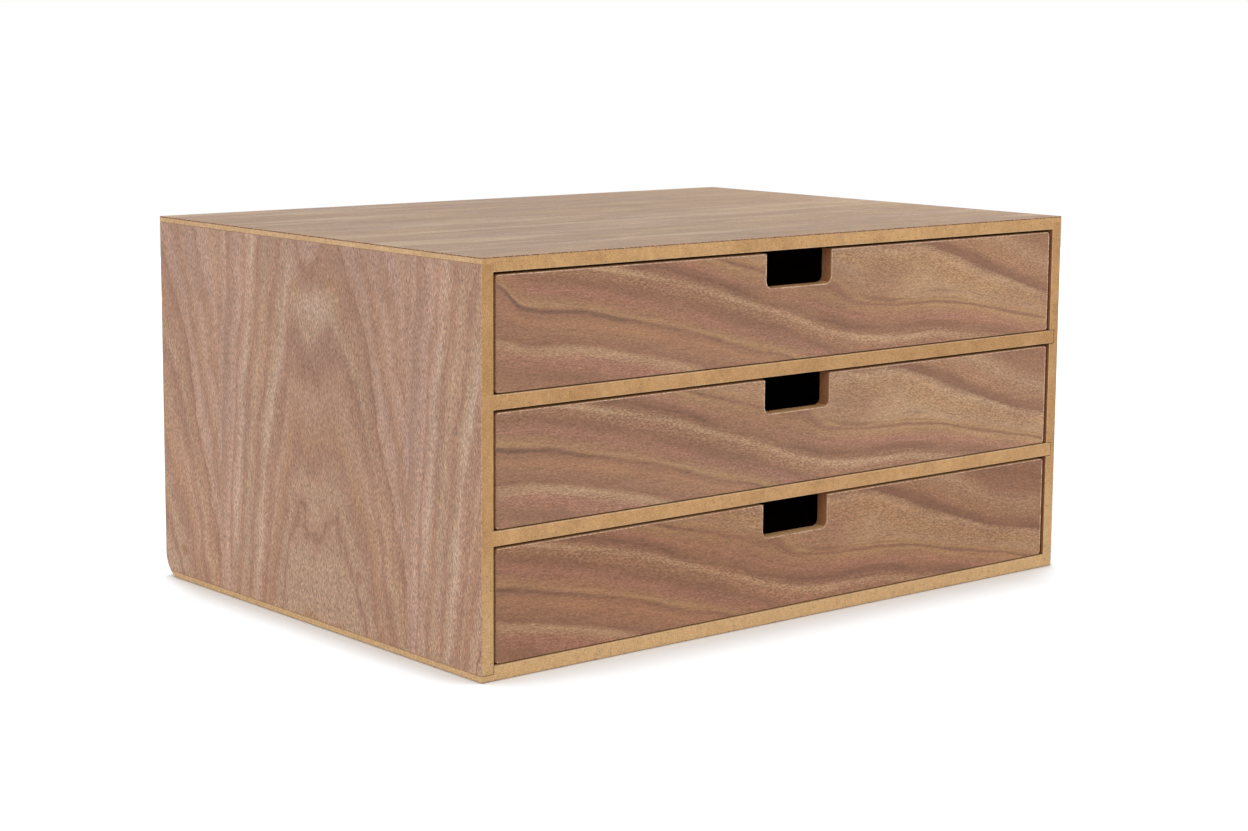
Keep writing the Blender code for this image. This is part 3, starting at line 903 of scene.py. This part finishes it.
tones = tinted(SIDE_TONES)
side_walnut = {}
for side, placing in SIDES.items():
    side_walnut[side] = walnut(
        f"walnut_crown_cut_{side}_side",
        side_figure(*placing, tones),
        tones,
        lines=0.045,
        stipple=2.0,
    )
print("crown-cut sides:", ", ".join(side_walnut))

# %% [markdown]
# ## The figure of the top and the underside
#
# These sheets are quarter cut: the knife passed across the rings, which show as straight, soft
# lines along the width of the unit. They need no curve, only streaks that are much longer than
# wide, with a slow bend.

# %% Straight figure
STRAIGHT_RINGS = (
    (0.33, "brown", 0.0), (0.40, "mid", 0.1), (0.46, "tan", 0.1), (0.50, "mid", 0.0),
    (0.55, "pink", 0.2), (0.60, "pale", 0.3), (0.70, "tan", 0.1),
)
TOP_PAINTED_LIGHT = ((-185, 0.95), (-60, 0.95), (60, 1.02), (185, 1.24))  # mm along, painted light: paler toward the right end
CLOUDS = ((36, 14, 0.14), (5, 12, 0.06))  # length and width in mm, contrast
SLOW_BEND = (160, 60)  # length and width in mm
BEND_REACH = 14  # mm
BROAD_LINES, NARROW_LINES = (260, 24), (180, 6)  # length and width in mm
NARROW_SHARE = 0.3


def straight_figure(seed, tones):
    """The figure of a quarter-cut sheet whose grain runs along the width of the unit."""

    def figure(tree):
        sheet = in_millimetres(tree)
        axes = add(tree, "SeparateXYZ", {0: sheet})
        along, across = axes.outputs["X"], axes.outputs["Y"]
        bend = streaks(tree, along, across, *SLOW_BEND, seed)
        bent = add(tree, "Math", {0: bend, 1: BEND_REACH, 2: across}, operation="MULTIPLY_ADD")
        broad = streaks(tree, along, bent, *BROAD_LINES, seed + 0.5)
        narrow = streaks(tree, along, bent, *NARROW_LINES, seed + 0.7)
        level = add(tree, "Mix", {0: NARROW_SHARE, 2: broad, 3: narrow})
        ramp = ring_tones(tree, level, STRAIGHT_RINGS, tones)
        # Painted light: the top grows paler toward its right end.
        lit = read_table(tree, along, TOP_PAINTED_LIGHT)
        for length, width, shade in CLOUDS:
            clouds = streaks(tree, along, bent, length, width, seed + width)
            cloudy = add(
                tree, "MapRange", {0: clouds, 1: 0.25, 2: 0.75, 3: 1 - shade, 4: 1 + shade}
            )
            lit = add(tree, "Math", {0: lit, 1: cloudy}, operation="MULTIPLY")
        colour = add(tree, "Mix", {0: 1, 6: ramp.outputs["Color"], 7: lit}, **SHADED)
        return colour, ramp.outputs["Alpha"], bent, along, bent, seed

    return figure


tones = tinted(TOP_TONES)
straight_walnut = {}
for sheet, seed in (("top", 23.0), ("underside", 29.0)):
    straight_walnut[sheet] = walnut(
        f"walnut_quarter_cut_{sheet}", straight_figure(seed, tones), tones, lines=0.03, stipple=0.9
    )
print("quarter-cut sheets:", ", ".join(straight_walnut))

# %% [markdown]
# ## The edges of the veneer
#
# A veneered board is trimmed with a saw after pressing. The blade tears and scorches the cut
# edge of the sheet, so it shows as a thin dark line that breaks wherever the sandpaper reached
# it. The corner above it is rubbed through to bare, pale wood.

# %% Veneer edge finishes
BREAK_LENGTH = 1.1  # mm between the breaks of the dark line
BREAK_BLUR = 0.05  # how softly a break starts, in values of the noise
EDGE_FIBRE = 0.6  # mm
SAWN_ROUGHNESS = 0.7


def veneer_edge(name, burnt, bare, share):
    """A thin sawn edge: burnt where the noise is under share, bare wood elsewhere."""
    material, tree = new_material(name)
    place = in_millimetres(tree)
    breaks = add(
        tree,
        "TexNoise",
        {"Vector": place, "Scale": 1 / BREAK_LENGTH, "Detail": 4, "Roughness": 0.65},
    )
    whole = add(tree, "MapRange", {0: breaks, 1: share - BREAK_BLUR, 2: share + BREAK_BLUR})
    colour = add(tree, "Mix", {0: whole, 6: paint(burnt), 7: paint(bare)}, **BLENDED)
    fine = add(tree, "TexNoise", {"Vector": place, "Scale": 1 / EDGE_FIBRE, "Detail": 2})
    value = add(tree, "MapRange", {0: fine, 1: 0.2, 2: 0.8, 3: 0.8, 4: 1.2})
    colour = add(tree, "Mix", {0: 1, 6: colour, 7: value}, **SHADED)
    relief = add(tree, "Bump", {"Strength": 1.0, "Distance": PORE_DEPTH * MM, "Height": fine})
    shader = add(
        tree,
        "BsdfPrincipled",
        {"Base Color": colour, "Roughness": SAWN_ROUGHNESS, "IOR": LACQUER_IOR, "Normal": relief},
    )
    add(tree, "OutputMaterial", {"Surface": shader})
    return material


sawn_dark = veneer_edge("walnut_sawn_edge", "#5e4231", "#b58f6b", 0.55)
sawn_pale = veneer_edge("walnut_sanded_edge", "#8e6c52", "#c6a37d", 0.42)
rubbed = veneer_edge("walnut_rubbed_corner", "#a4806a", "#c3a189", 0.52)
worn = veneer_edge("walnut_worn_front_rim", "#ab8169", "#d8baa4", 0.50)
print("veneer edges:", sawn_dark.name, sawn_pale.name, rubbed.name, worn.name)

# %% [markdown]
# ## Sheets of veneer
#
# All the veneers follow one rule: a flat outline, cut out of a thin sheet with a slightly ragged
# edge. That makes them work for Geometry Nodes. The tree takes a loop of edges, rounds each
# corner by the radius stored on it, adds points along the sides, nudges them, fills the loop,
# and raises it to the sheet's thickness. Its inputs are the real sizes. The modifier's result is
# turned into a plain mesh, laid on its board, and its upper corner is rubbed down.

# %% Inputs of the veneer tree
sheet_tree = bpy.data.node_groups.new("veneer_sheet", "GeometryNodeTree")
sheet_tree.is_modifier = True
sockets = {}
for name, kind, way in (
    ("Outline", "NodeSocketGeometry", "INPUT"), ("Thickness", "NodeSocketFloat", "INPUT"),
    ("Corner steps", "NodeSocketInt", "INPUT"), ("Point spacing", "NodeSocketFloat", "INPUT"),
    ("Raggedness", "NodeSocketFloat", "INPUT"), ("Seed", "NodeSocketFloat", "INPUT"),
    ("Face finish", "NodeSocketMaterial", "INPUT"), ("Edge finish", "NodeSocketMaterial", "INPUT"),
    ("Sheet", "NodeSocketGeometry", "OUTPUT"),
):
    sockets[name] = sheet_tree.interface.new_socket(name, in_out=way, socket_type=kind)
print("inputs of the veneer tree:", ", ".join(name for name in sockets if name != "Sheet"))

# %% A rounded outline with a ragged edge
NICK_SCALE = 700  # of the noise, for nicks 1.4 mm apart, in metres like the points

tree = sheet_tree
given = add(tree, "NodeGroupInput")
size = given.outputs
loop = add(tree, "GeometryNodeMeshToCurve", {"Mesh": size["Outline"]})
radius = add(tree, "GeometryNodeInputNamedAttribute", {"Name": "corner_radius"}, data_type="FLOAT")
rounded = add(
    tree,
    "GeometryNodeFilletCurve",
    {"Curve": loop, "Count": size["Corner steps"], "Radius": radius, "Limit Radius": True},
    mode="POLY",
)

# The number of new points on each side follows from its length.
here = add(tree, "GeometryNodeInputPosition")
index = add(tree, "GeometryNodeInputIndex")
after = add(tree, "GeometryNodeOffsetPointInCurve", {"Point Index": index.outputs[0], "Offset": 1})
following = add(
    tree,
    "GeometryNodeFieldAtIndex",
    {"Value": here, "Index": after.outputs["Point Index"]},
    data_type="FLOAT_VECTOR",
)
length = add(tree, "VectorMath", {0: here, 1: following}, operation="DISTANCE")
parts = add(
    tree, "Math", {0: length.outputs["Value"], 1: size["Point spacing"]}, operation="DIVIDE"
)
fine = add(tree, "GeometryNodeSubdivideCurve", {"Curve": rounded, "Cuts": parts})

# Each point moves up to the raggedness, in the plane of the sheet.
grain = add(
    tree,
    "TexNoise",
    {"Vector": here, "W": size["Seed"], "Scale": NICK_SCALE, "Detail": 2},
    noise_dimensions="4D",
)
centred = add(
    tree, "VectorMath", {0: grain.outputs["Color"], 1: (0.5, 0.5, 0.5)}, operation="SUBTRACT"
)
flat = add(tree, "VectorMath", {0: centred, 1: (2, 2, 0)}, operation="MULTIPLY")
nudge = add(tree, "VectorMath", {0: flat, "Scale": size["Raggedness"]}, operation="SCALE")
torn = add(tree, "GeometryNodeSetPosition", {"Geometry": fine, "Offset": nudge})
print("nodes for the outline:", len(tree.nodes))

# %% Thickness and finishes of a sheet
MERGE_DISTANCE = 1e-6  # metres

face = add(tree, "GeometryNodeFillCurve", {"Curve": torn}, mode="NGONS")
upwards = add(tree, "CombineXYZ", {2: size["Thickness"]})
raised = add(
    tree,
    "GeometryNodeExtrudeMesh",
    {"Mesh": face, "Offset": upwards, "Offset Scale": 1.0, "Individual": False},
    mode="FACES",
)
under = add(tree, "GeometryNodeFlipFaces", {"Mesh": face})
both = add(tree, "GeometryNodeJoinGeometry", {"Geometry": raised})
tree.links.new(under.outputs[0], both.inputs["Geometry"])
closed = add(tree, "GeometryNodeMergeByDistance", {"Geometry": both, "Distance": MERGE_DISTANCE})
real = add(tree, "GeometryNodeRealizeInstances", {"Geometry": closed})
faced = add(tree, "GeometryNodeSetMaterial", {"Geometry": real, "Material": size["Face finish"]})
edged = add(
    tree,
    "GeometryNodeSetMaterial",
    {"Geometry": faced, "Selection": raised.outputs["Side"], "Material": size["Edge finish"]},
)
add(tree, "NodeGroupOutput", {"Sheet": edged})
print("nodes in the whole tree:", len(tree.nodes))

# %% [markdown]
# ## Laying a sheet on its board
#
# An outline is drawn flat. A facing says which way its two directions and its thickness point on
# the unit, as the three columns of a turn. The corners are pulled in by the raggedness first, so
# that no torn fibre stands out past the real size. Sandpaper then takes the sharp corner off the
# upper rim: a narrow bevel, which gets the rubbed finish.

# %% Faces of the unit
ACROSS, DEEP, UP = Vector((1, 0, 0)), Vector((0, 1, 0)), Vector((0, 0, 1))
FACINGS = {
    "front": (ACROSS, UP, -DEEP),
    "left": (-DEEP, UP, -ACROSS),
    "right": (DEEP, UP, ACROSS),
    "top": (ACROSS, DEEP, UP),
    "under": (ACROSS, -DEEP, -UP),
}


def turned(facing):
    """The turn from a flat drawing to a face of the unit."""
    return Matrix(FACINGS[facing]).transposed().to_4x4()


print("faces that carry a sheet:", ", ".join(FACINGS))

# %% Rub a mesh
RUBBED_WIDTH = 0.2 * MM
RIM_WIDTH, RIM_DROP = 0.45 * MM, 0.12 * MM  # the worn rim of a drawer front
SMOOTH_TURN = math.radians(20)


def rub_corners(mesh, chosen, width, finish, steps=2):
    """Bevels the edges that chosen(edge) picks, and gives the new faces that finish."""
    mesh.materials.append(finish)
    shape = bmesh.new()
    shape.from_mesh(mesh)
    edges = [edge for edge in shape.edges if chosen(edge)]
    bmesh.ops.bevel(
        shape,
        geom=edges,
        offset=width,
        offset_type="OFFSET",
        segments=steps,
        profile=0.5,
        affect="EDGES",
        clamp_overlap=True,
        material=len(mesh.materials) - 1,
    )
    shape.to_mesh(mesh)
    shape.free()
    return len(edges)


def wear_rim(mesh, rim_height, finish):
    """Insets the upper face and lowers its outer edge, for a flat rim all around it. It is worn
    pale along the upper and the right edge, where hands and the bay touch it. Along the left and
    the lower edge it keeps the face's finish, which paints the post's shade on the left edge."""
    mesh.materials.append(finish)
    shape = bmesh.new()
    shape.from_mesh(mesh)
    upper = [f for f in shape.faces if all(vert.co.z > rim_height for vert in f.verts)]
    outer = {vert for face in upper for vert in face.verts}
    ring = bmesh.ops.inset_region(
        shape, faces=upper, thickness=RIM_WIDTH, use_even_offset=True, use_boundary=True
    )["faces"]
    left_edge = min(vert.co.x for vert in shape.verts) + RIM_WIDTH
    lower_edge = min(vert.co.y for vert in shape.verts) + RIM_WIDTH
    # Rim faces by the left and the lower edge keep the face's finish: painted shade beside the
    # post.
    for face in ring:
        middle = face.calc_center_median()
        if middle.x > left_edge and middle.y > lower_edge:
            face.material_index = len(mesh.materials) - 1
    for vert in outer:
        vert.co.z -= RIM_DROP
    shape.to_mesh(mesh)
    shape.free()


def settle(mesh):
    """Makes faces point outwards, and shades arcs smooth and corners sharp."""
    shape = bmesh.new()
    shape.from_mesh(mesh)
    bmesh.ops.recalc_face_normals(shape, faces=shape.faces)
    shape.to_mesh(mesh)
    shape.free()
    mesh.shade_smooth()
    mesh.set_sharp_from_angle(angle=SMOOTH_TURN)


print("rubbed off a sheet's corner in mm:", round(RUBBED_WIDTH / MM, 2))

# %% Lay a sheet
POINT_SPACING = 1.2 * MM
CORNER_STEPS = 10
RAGGEDNESS = 0.10 * MM
RIM_MARGIN = 1e-6  # metres under the upper face, where a point still counts as on it


def lay_sheet(
    name, corners, facing, surface, thickness, finishes, seed, node, body, worn_rim=False
):
    """A veneer from its corners (u, v, radius), with its lower face at surface along the facing."""
    mid_u = (min(c[0] for c in corners) + max(c[0] for c in corners)) / 2
    mid_v = (min(c[1] for c in corners) + max(c[1] for c in corners)) / 2
    pulled = [
        (u - math.copysign(RAGGEDNESS, u - mid_u), v - math.copysign(RAGGEDNESS, v - mid_v), 0)
        for u, v, _ in corners
    ]
    face_finish, edge_finish, rim_finish = finishes
    mesh = bpy.data.meshes.new(name)
    mesh.materials.append(face_finish)
    count = len(pulled)
    mesh.from_pydata(pulled, [(at, (at + 1) % count) for at in range(count)], [])
    radii = mesh.attributes.new("corner_radius", "FLOAT", "POINT")
    radii.data.foreach_set("value", [corner[2] for corner in corners])
    drawn = bpy.data.objects.new(name, mesh)
    scene.collection.objects.link(drawn)
    modifier = drawn.modifiers.new("veneer_sheet", "NODES")
    modifier.node_group = sheet_tree
    for socket, value in (
        ("Thickness", thickness), ("Corner steps", CORNER_STEPS), ("Point spacing", POINT_SPACING),
        ("Raggedness", RAGGEDNESS), ("Seed", seed), ("Face finish", face_finish),
        ("Edge finish", edge_finish),
    ):
        modifier[sockets[socket].identifier] = value
    graph = bpy.context.evaluated_depsgraph_get()
    made = bpy.data.meshes.new_from_object(drawn.evaluated_get(graph))
    bpy.data.objects.remove(drawn, do_unlink=True)

    settle(made)
    rim = thickness - RIM_MARGIN
    if worn_rim:
        wear_rim(made, rim, rim_finish)
    else:
        rub_corners(
            made,
            lambda edge: all(vert.co.z > rim for vert in edge.verts)
            and edge.calc_face_angle(0) > SMOOTH_TURN,
            RUBBED_WIDTH,
            rim_finish,
        )
    normal = FACINGS[facing][2]
    made.transform(Matrix.Translation(normal * surface) @ turned(facing))
    settle(made)
    made.name = name
    piece = bpy.data.objects.new(name, made)
    scene.collection.objects.link(piece)
    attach(piece, body)
    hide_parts(node)
    return piece


def plain_corners(low_u, low_v, high_u, high_v):
    """The four square corners of a sheet."""
    return [(low_u, low_v, 0), (high_u, low_v, 0), (high_u, high_v, 0), (low_u, high_v, 0)]


low, high = cad_box
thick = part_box("top_veneer")[1].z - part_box("top_veneer")[0].z
top_sheet = lay_sheet(
    "top_veneer_sheet",
    plain_corners(low.x, low.y, high.x, high.y),
    "top",
    surface=high.z - thick,
    thickness=thick,
    finishes=(straight_walnut["top"], sawn_dark, rubbed),
    seed=1.0,
    node="top_veneer",
    body="carcass",
)
print("top sheet:", len(top_sheet.data.polygons), "faces,", round(thick / MM, 2), "mm thick")

# %% [markdown]
# ## The sheets of the sides and the underside
#
# The side sheets stop at the lips of the top and bottom boards, which show as a strip of
# fibreboard above and below the walnut. Their lower rear corner is rounded with the whole
# carcass, so that part of the outline is a row of points on an arc. The sheet starts above the
# bottom of the arc, because the lip of the bottom board is under it.

# %% Side and underside sheets
LIP = 2.8 * MM
REAR_RADIUS = 12 * MM
ARC_POINTS = 14
side_low, side_high = low.z + LIP, high.z - LIP


def side_corners(outward):
    """A side sheet's corners. Outward is 1 where the drawing runs from front to rear."""
    top_of_arc = low.z + REAR_RADIUS
    end = math.asin((top_of_arc - side_low) / REAR_RADIUS)
    arc = []
    for step in range(ARC_POINTS + 1):
        angle = end * step / ARC_POINTS
        depth = high.y - REAR_RADIUS + REAR_RADIUS * math.cos(angle)
        arc.append((depth, top_of_arc - REAR_RADIUS * math.sin(angle)))
    outline = [(low.y, side_high), (high.y, side_high), *arc, (low.y, side_low)]
    return [(outward * depth, height, 0) for depth, height in outline]


for side, outward, seed in (("left", -1, 2.0), ("right", 1, 3.0)):
    sheet = lay_sheet(
        f"{side}_side_veneer_sheet",
        side_corners(outward),
        side,
        surface=high.x - thick,
        thickness=thick,
        finishes=(side_walnut[side], sawn_pale, rubbed),
        seed=seed,
        node=f"{side}_side_veneer",
        body="carcass",
    )
    print(sheet.name, len(sheet.data.polygons), "faces")

under_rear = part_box("bottom_veneer")[1].y
under_sheet = lay_sheet(
    "underside_veneer_sheet",
    plain_corners(low.x, -under_rear, high.x, -low.y),
    "under",
    surface=-thick,
    thickness=thick,
    finishes=(straight_walnut["underside"], sawn_pale, sawn_pale),
    seed=4.0,
    node="bottom_veneer",
    body="carcass",
)
print(under_sheet.name, len(under_sheet.data.polygons), "faces")

# %% [markdown]
# ## The boards of the carcass
#
# The boards keep the solids' shapes with all their rebates, housings and grooves. A copy of each
# solid is merged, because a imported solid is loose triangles, and its flat faces are joined into
# one each. Glue lines that don't show on the real unit are closed by moving a plane of points
# 0.3 mm. They stay open at the right ends of the shelves and under the left post, where dark
# lines do show. The free corners are then eased by a third of a millimetre.

# %% Dress a board
EASED_WIDTH = 0.35 * MM
GAP_SHADE_REACH = 9 * MM  # how deep behind the front edge the bay walls get painted shade
SAME_PLACE = 2e-6
FLAT_TURN = math.radians(0.5)
AXIS = {"x": 0, "y": 1, "z": 2}
LOOKS_ALONG = 0.99  # of a face's normal, from where it counts as looking along an axis


def near(vert, axis, place):
    """Whether a point lies on the plane at a place along an axis."""
    return abs(vert.co[AXIS[axis]] - place) < SAME_PLACE


def dress_board(
    name, node, body, broad, eased=(), moved=(), tone=0.5, width=EASED_WIDTH, other=None
):
    """A finished board. Eased lists the corners as (axis, place, axis, place), and moved the
    planes as (axis, from, to). Broad is the axis that its pressed faces look along. Other is
    one more finish, with a test that picks its faces."""
    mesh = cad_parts[node].data.copy()
    mesh.name = name
    mesh.materials.clear()
    mesh.materials.append(mdf_face)
    mesh.materials.append(mdf_edge)
    shape = bmesh.new()
    shape.from_mesh(mesh)
    bmesh.ops.remove_doubles(shape, verts=shape.verts, dist=SAME_PLACE)
    bmesh.ops.dissolve_limit(shape, angle_limit=FLAT_TURN, verts=shape.verts, edges=shape.edges)
    for axis, place, to in moved:
        for vert in shape.verts:
            if near(vert, axis, place):
                vert.co[AXIS[axis]] = to
    bmesh.ops.recalc_face_normals(shape, faces=shape.faces)
    for face in shape.faces:
        pressed = abs(face.normal[AXIS[broad]]) > LOOKS_ALONG
        face.material_index = 0 if pressed else 1
    if other:
        finish, picks = other
        mesh.materials.append(finish)
        if finish is mdf_painted_gap_shade:
            bmesh.ops.bisect_plane(
                shape,
                geom=[*shape.verts, *shape.edges, *shape.faces],
                plane_co=DEEP * (low.y + GAP_SHADE_REACH),
                plane_no=DEEP,
            )
        for face in shape.faces:
            if picks(face):
                face.material_index = 2
    shape.to_mesh(mesh)
    shape.free()

    def chosen(edge):
        return any(
            all(near(v, first, at) and near(v, second, along) for v in edge.verts)
            for first, at, second, along in eased
        )

    count = rub_corners(mesh, chosen, width, mdf_arris)
    settle(mesh)
    marks = mesh.attributes.new("board_tone", "FLOAT", "POINT")
    marks.data.foreach_set("value", [tone] * len(mesh.vertices))
    piece = bpy.data.objects.new(name, mesh)
    scene.collection.objects.link(piece)
    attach(piece, body)
    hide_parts(node)
    print(f"{name}: {len(mesh.polygons)} faces, {count} corners eased")
    return piece


# %% [markdown]
# ## Where the boards meet
#
# The places of the planes are read from the solids' own boxes, so the boards still fit if the
# model changes. The front of a board is at the lowest y. The inner faces of the sides, the
# floor and the ceiling of the bays are where the free corners lie.

# %% Planes of the carcass
JOINT = 0.3 * MM  # glue lines of the CAD model, closed where the real ones don't show
front, rear = low.y, high.y
bay_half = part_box("right_side_panel")[0].x
shoulder = bay_half - JOINT
bay_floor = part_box("bottom_panel")[1].z
bay_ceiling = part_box("top_panel")[0].z
core_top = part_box("top_panel")[1].z
core_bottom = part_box("bottom_panel")[0].z
side_core_low, side_core_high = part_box("left_side_panel")[0].z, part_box("left_side_panel")[1].z
side_core_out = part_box("right_side_panel")[1].x
print("bays between floor and ceiling in mm:", round((bay_ceiling - bay_floor) / MM, 1))


# %% Top and bottom boards
# The outer ends of the top and bottom boards take the paler finish, as painted light.
def at_end(face):
    """Whether a face is an outer end of the top or bottom board."""
    sideways = abs(face.normal.x) > LOOKS_ALONG
    return sideways and abs(face.calc_center_median().x) > side_core_out


# The upright corners of the box. The bottom board is rounded at the rear, so it has two of them.
uprights = [("x", side, "y", end) for end in (front, rear) for side in (low.x, high.x)]
dress_board(
    "top_board",
    "top_panel",
    "carcass",
    broad="z",
    eased=[("y", front, "z", bay_ceiling), ("y", rear, "z", bay_ceiling), *uprights],
    moved=[
        ("z", core_top, core_top + JOINT), ("x", -shoulder, -bay_half), ("x", shoulder, bay_half)
    ],
    tone=0.88,
    other=(mdf_end_painted_light, at_end),
)
dress_board(
    "bottom_board",
    "bottom_panel",
    "carcass",
    broad="z",
    eased=[("y", front, "z", bay_floor), ("y", rear, "z", bay_floor), *uprights[:2]],
    moved=[("z", core_bottom, core_bottom - JOINT), ("x", shoulder, bay_half)],
    tone=0.95,
    other=(mdf_end_painted_light, at_end),
)

# %% Side boards, shelves and back
SHELVES = {"middle": 0.70, "upper": 0.42}  # drawer above the shelf, and the tone of its board


def in_front(face):
    """Whether a face lies within the reach of the painted shade behind the front."""
    return face.calc_center_median().y < front + GAP_SHADE_REACH


shelf_planes = []
for drawer in SHELVES:
    shelf_low, shelf_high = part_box(f"shelf_under_{drawer}_drawer")
    shelf_planes.append((shelf_low.z, shelf_high.z))

closed_housings = []
for under_face, upper_face in shelf_planes:
    closed_housings.append(("z", under_face - JOINT, under_face))
    closed_housings.append(("z", upper_face + JOINT, upper_face))
for side, outward, own_lines, tone in (
    ("left", -1, closed_housings, 0.30),
    ("right", 1, [("z", side_core_low, side_core_low - JOINT)], 0.40),
):
    dress_board(
        f"{side}_side_board",
        f"{side}_side_panel",
        "carcass",
        broad="x",
        eased=[("y", end, "x", outward * bay_half) for end in (front, rear)],
        moved=[
            ("x", outward * side_core_out, outward * (side_core_out + JOINT)),
            ("z", side_core_high, side_core_high + JOINT),
            *own_lines,
        ],
        tone=tone,
        # the bay wall just behind the front gets the painted shade
        other=(
            mdf_painted_gap_shade, lambda face: face.normal.x * -outward > LOOKS_ALONG and in_front(face)
        ),
    )
for (drawer, tone), (under_face, upper_face) in zip(SHELVES.items(), shelf_planes):
    shelf_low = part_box(f"shelf_under_{drawer}_drawer")[0]
    dress_board(
        f"shelf_board_under_{drawer}_drawer",
        f"shelf_under_{drawer}_drawer",
        "carcass",
        broad="z",
        eased=[("y", front, "z", under_face), ("y", front, "z", upper_face)],
        moved=[("x", shelf_low.x, shelf_low.x - JOINT)],
        tone=tone,
    )
dress_board("back_board", "back_panel", "carcass", broad="y", tone=0.9)

# %% [markdown]
# ## The drawers
#
# A drawer's front is a veneered board with a finger notch sawn into its upper edge. The veneer
# comes from the same tree as the other sheets, with the radii of the corners and of the notch
# stored on its outline. The core behind it, the walls and the base are dressed like the carcass
# boards. The corners of a front are rubbed further down than those of the carcass, because
# hands and the bay's edges wear them.

# %% Outline of a drawer front
NOTCH_HALF_WIDTH = 21.1 * MM
NOTCH_DEPTH = 16 * MM
NOTCH_RADIUS = 3.5 * MM
FRONT_RADIUS = 1.5 * MM


def in_notch_wall(face):
    """Whether a face of a front is one of the upright walls of its notch."""
    return abs(face.normal.x) > 0.5 and abs(face.calc_center_median().x) < 2 * NOTCH_HALF_WIDTH


def front_corners(box_low, box_high):
    """The outline of a front with its notch, counted anticlockwise from the lower left."""
    floor_of_notch = box_high.z - NOTCH_DEPTH
    return [
        (box_low.x, box_low.z, FRONT_RADIUS), (box_high.x, box_low.z, FRONT_RADIUS),
        (box_high.x, box_high.z, FRONT_RADIUS), (NOTCH_HALF_WIDTH, box_high.z, 0),
        (NOTCH_HALF_WIDTH, floor_of_notch, NOTCH_RADIUS),
        (-NOTCH_HALF_WIDTH, floor_of_notch, NOTCH_RADIUS), (-NOTCH_HALF_WIDTH, box_high.z, 0),
        (box_low.x, box_high.z, FRONT_RADIUS),
    ]


print("finger notch in mm:", round(2 * NOTCH_HALF_WIDTH / MM, 1), "by", round(NOTCH_DEPTH / MM, 1))

# %% Drawer boards and fronts
WALL_EASED = 0.5 * MM

for number, drawer in enumerate(FRONTS):
    body = f"{drawer}_drawer"
    veneer_low, veneer_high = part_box(f"{body}_front_veneer")
    lay_sheet(
        f"{body}_front_veneer_sheet",
        front_corners(veneer_low, veneer_high),
        "front",
        surface=-veneer_high.y,
        thickness=veneer_high.y - veneer_low.y,
        finishes=(front_walnut[drawer], sawn_pale, worn),
        seed=5.0 + number,
        node=f"{body}_front_veneer",
        body=body,
        worn_rim=True,
    )
    core_low, core_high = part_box(f"{body}_front")
    dress_board(
        f"{body}_front_board",
        f"{body}_front",
        body,
        broad="y",
        eased=[("y", core_high.y, "z", core_high.z)],
        moved=[("y", core_low.y, core_low.y - JOINT)],
        tone=0.35 + 0.1 * number,
        # the notch walls get the painted shade
        other=(mdf_painted_gap_shade, in_notch_wall),
    )
    for side, inwards in (("left", 1), ("right", -1)):
        wall_low, wall_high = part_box(f"{body}_{side}_wall")
        dress_board(
            f"{body}_{side}_wall_board",
            f"{body}_{side}_wall",
            body,
            broad="x",
            eased=[("x", wall_low.x, "z", wall_high.z), ("x", wall_high.x, "z", wall_high.z)],
            tone=0.55 + 0.08 * inwards,
            width=WALL_EASED,
        )
    wall_low, wall_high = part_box(f"{body}_back_wall")
    dress_board(
        f"{body}_back_wall_board",
        f"{body}_back_wall",
        body,
        broad="y",
        eased=[("y", wall_low.y, "z", wall_high.z), ("y", wall_high.y, "z", wall_high.z)],
        tone=0.45,
        width=WALL_EASED,
    )
    dress_board(f"{body}_base_board", f"{body}_base", body, broad="z", tone=0.85)

# %% [markdown]
# ## Check the size
#
# The dressed unit has to stay inside the box of the CAD model, so the furthest that it reaches
# past that box is printed.

# %% Size
dressed_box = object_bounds()
growth = max(
    max(cad_box[0][axis] - dressed_box[0][axis], dressed_box[1][axis] - cad_box[1][axis])
    for axis in range(3)
)
print("furthest past the CAD box in mm:", round(growth / MM, 4))
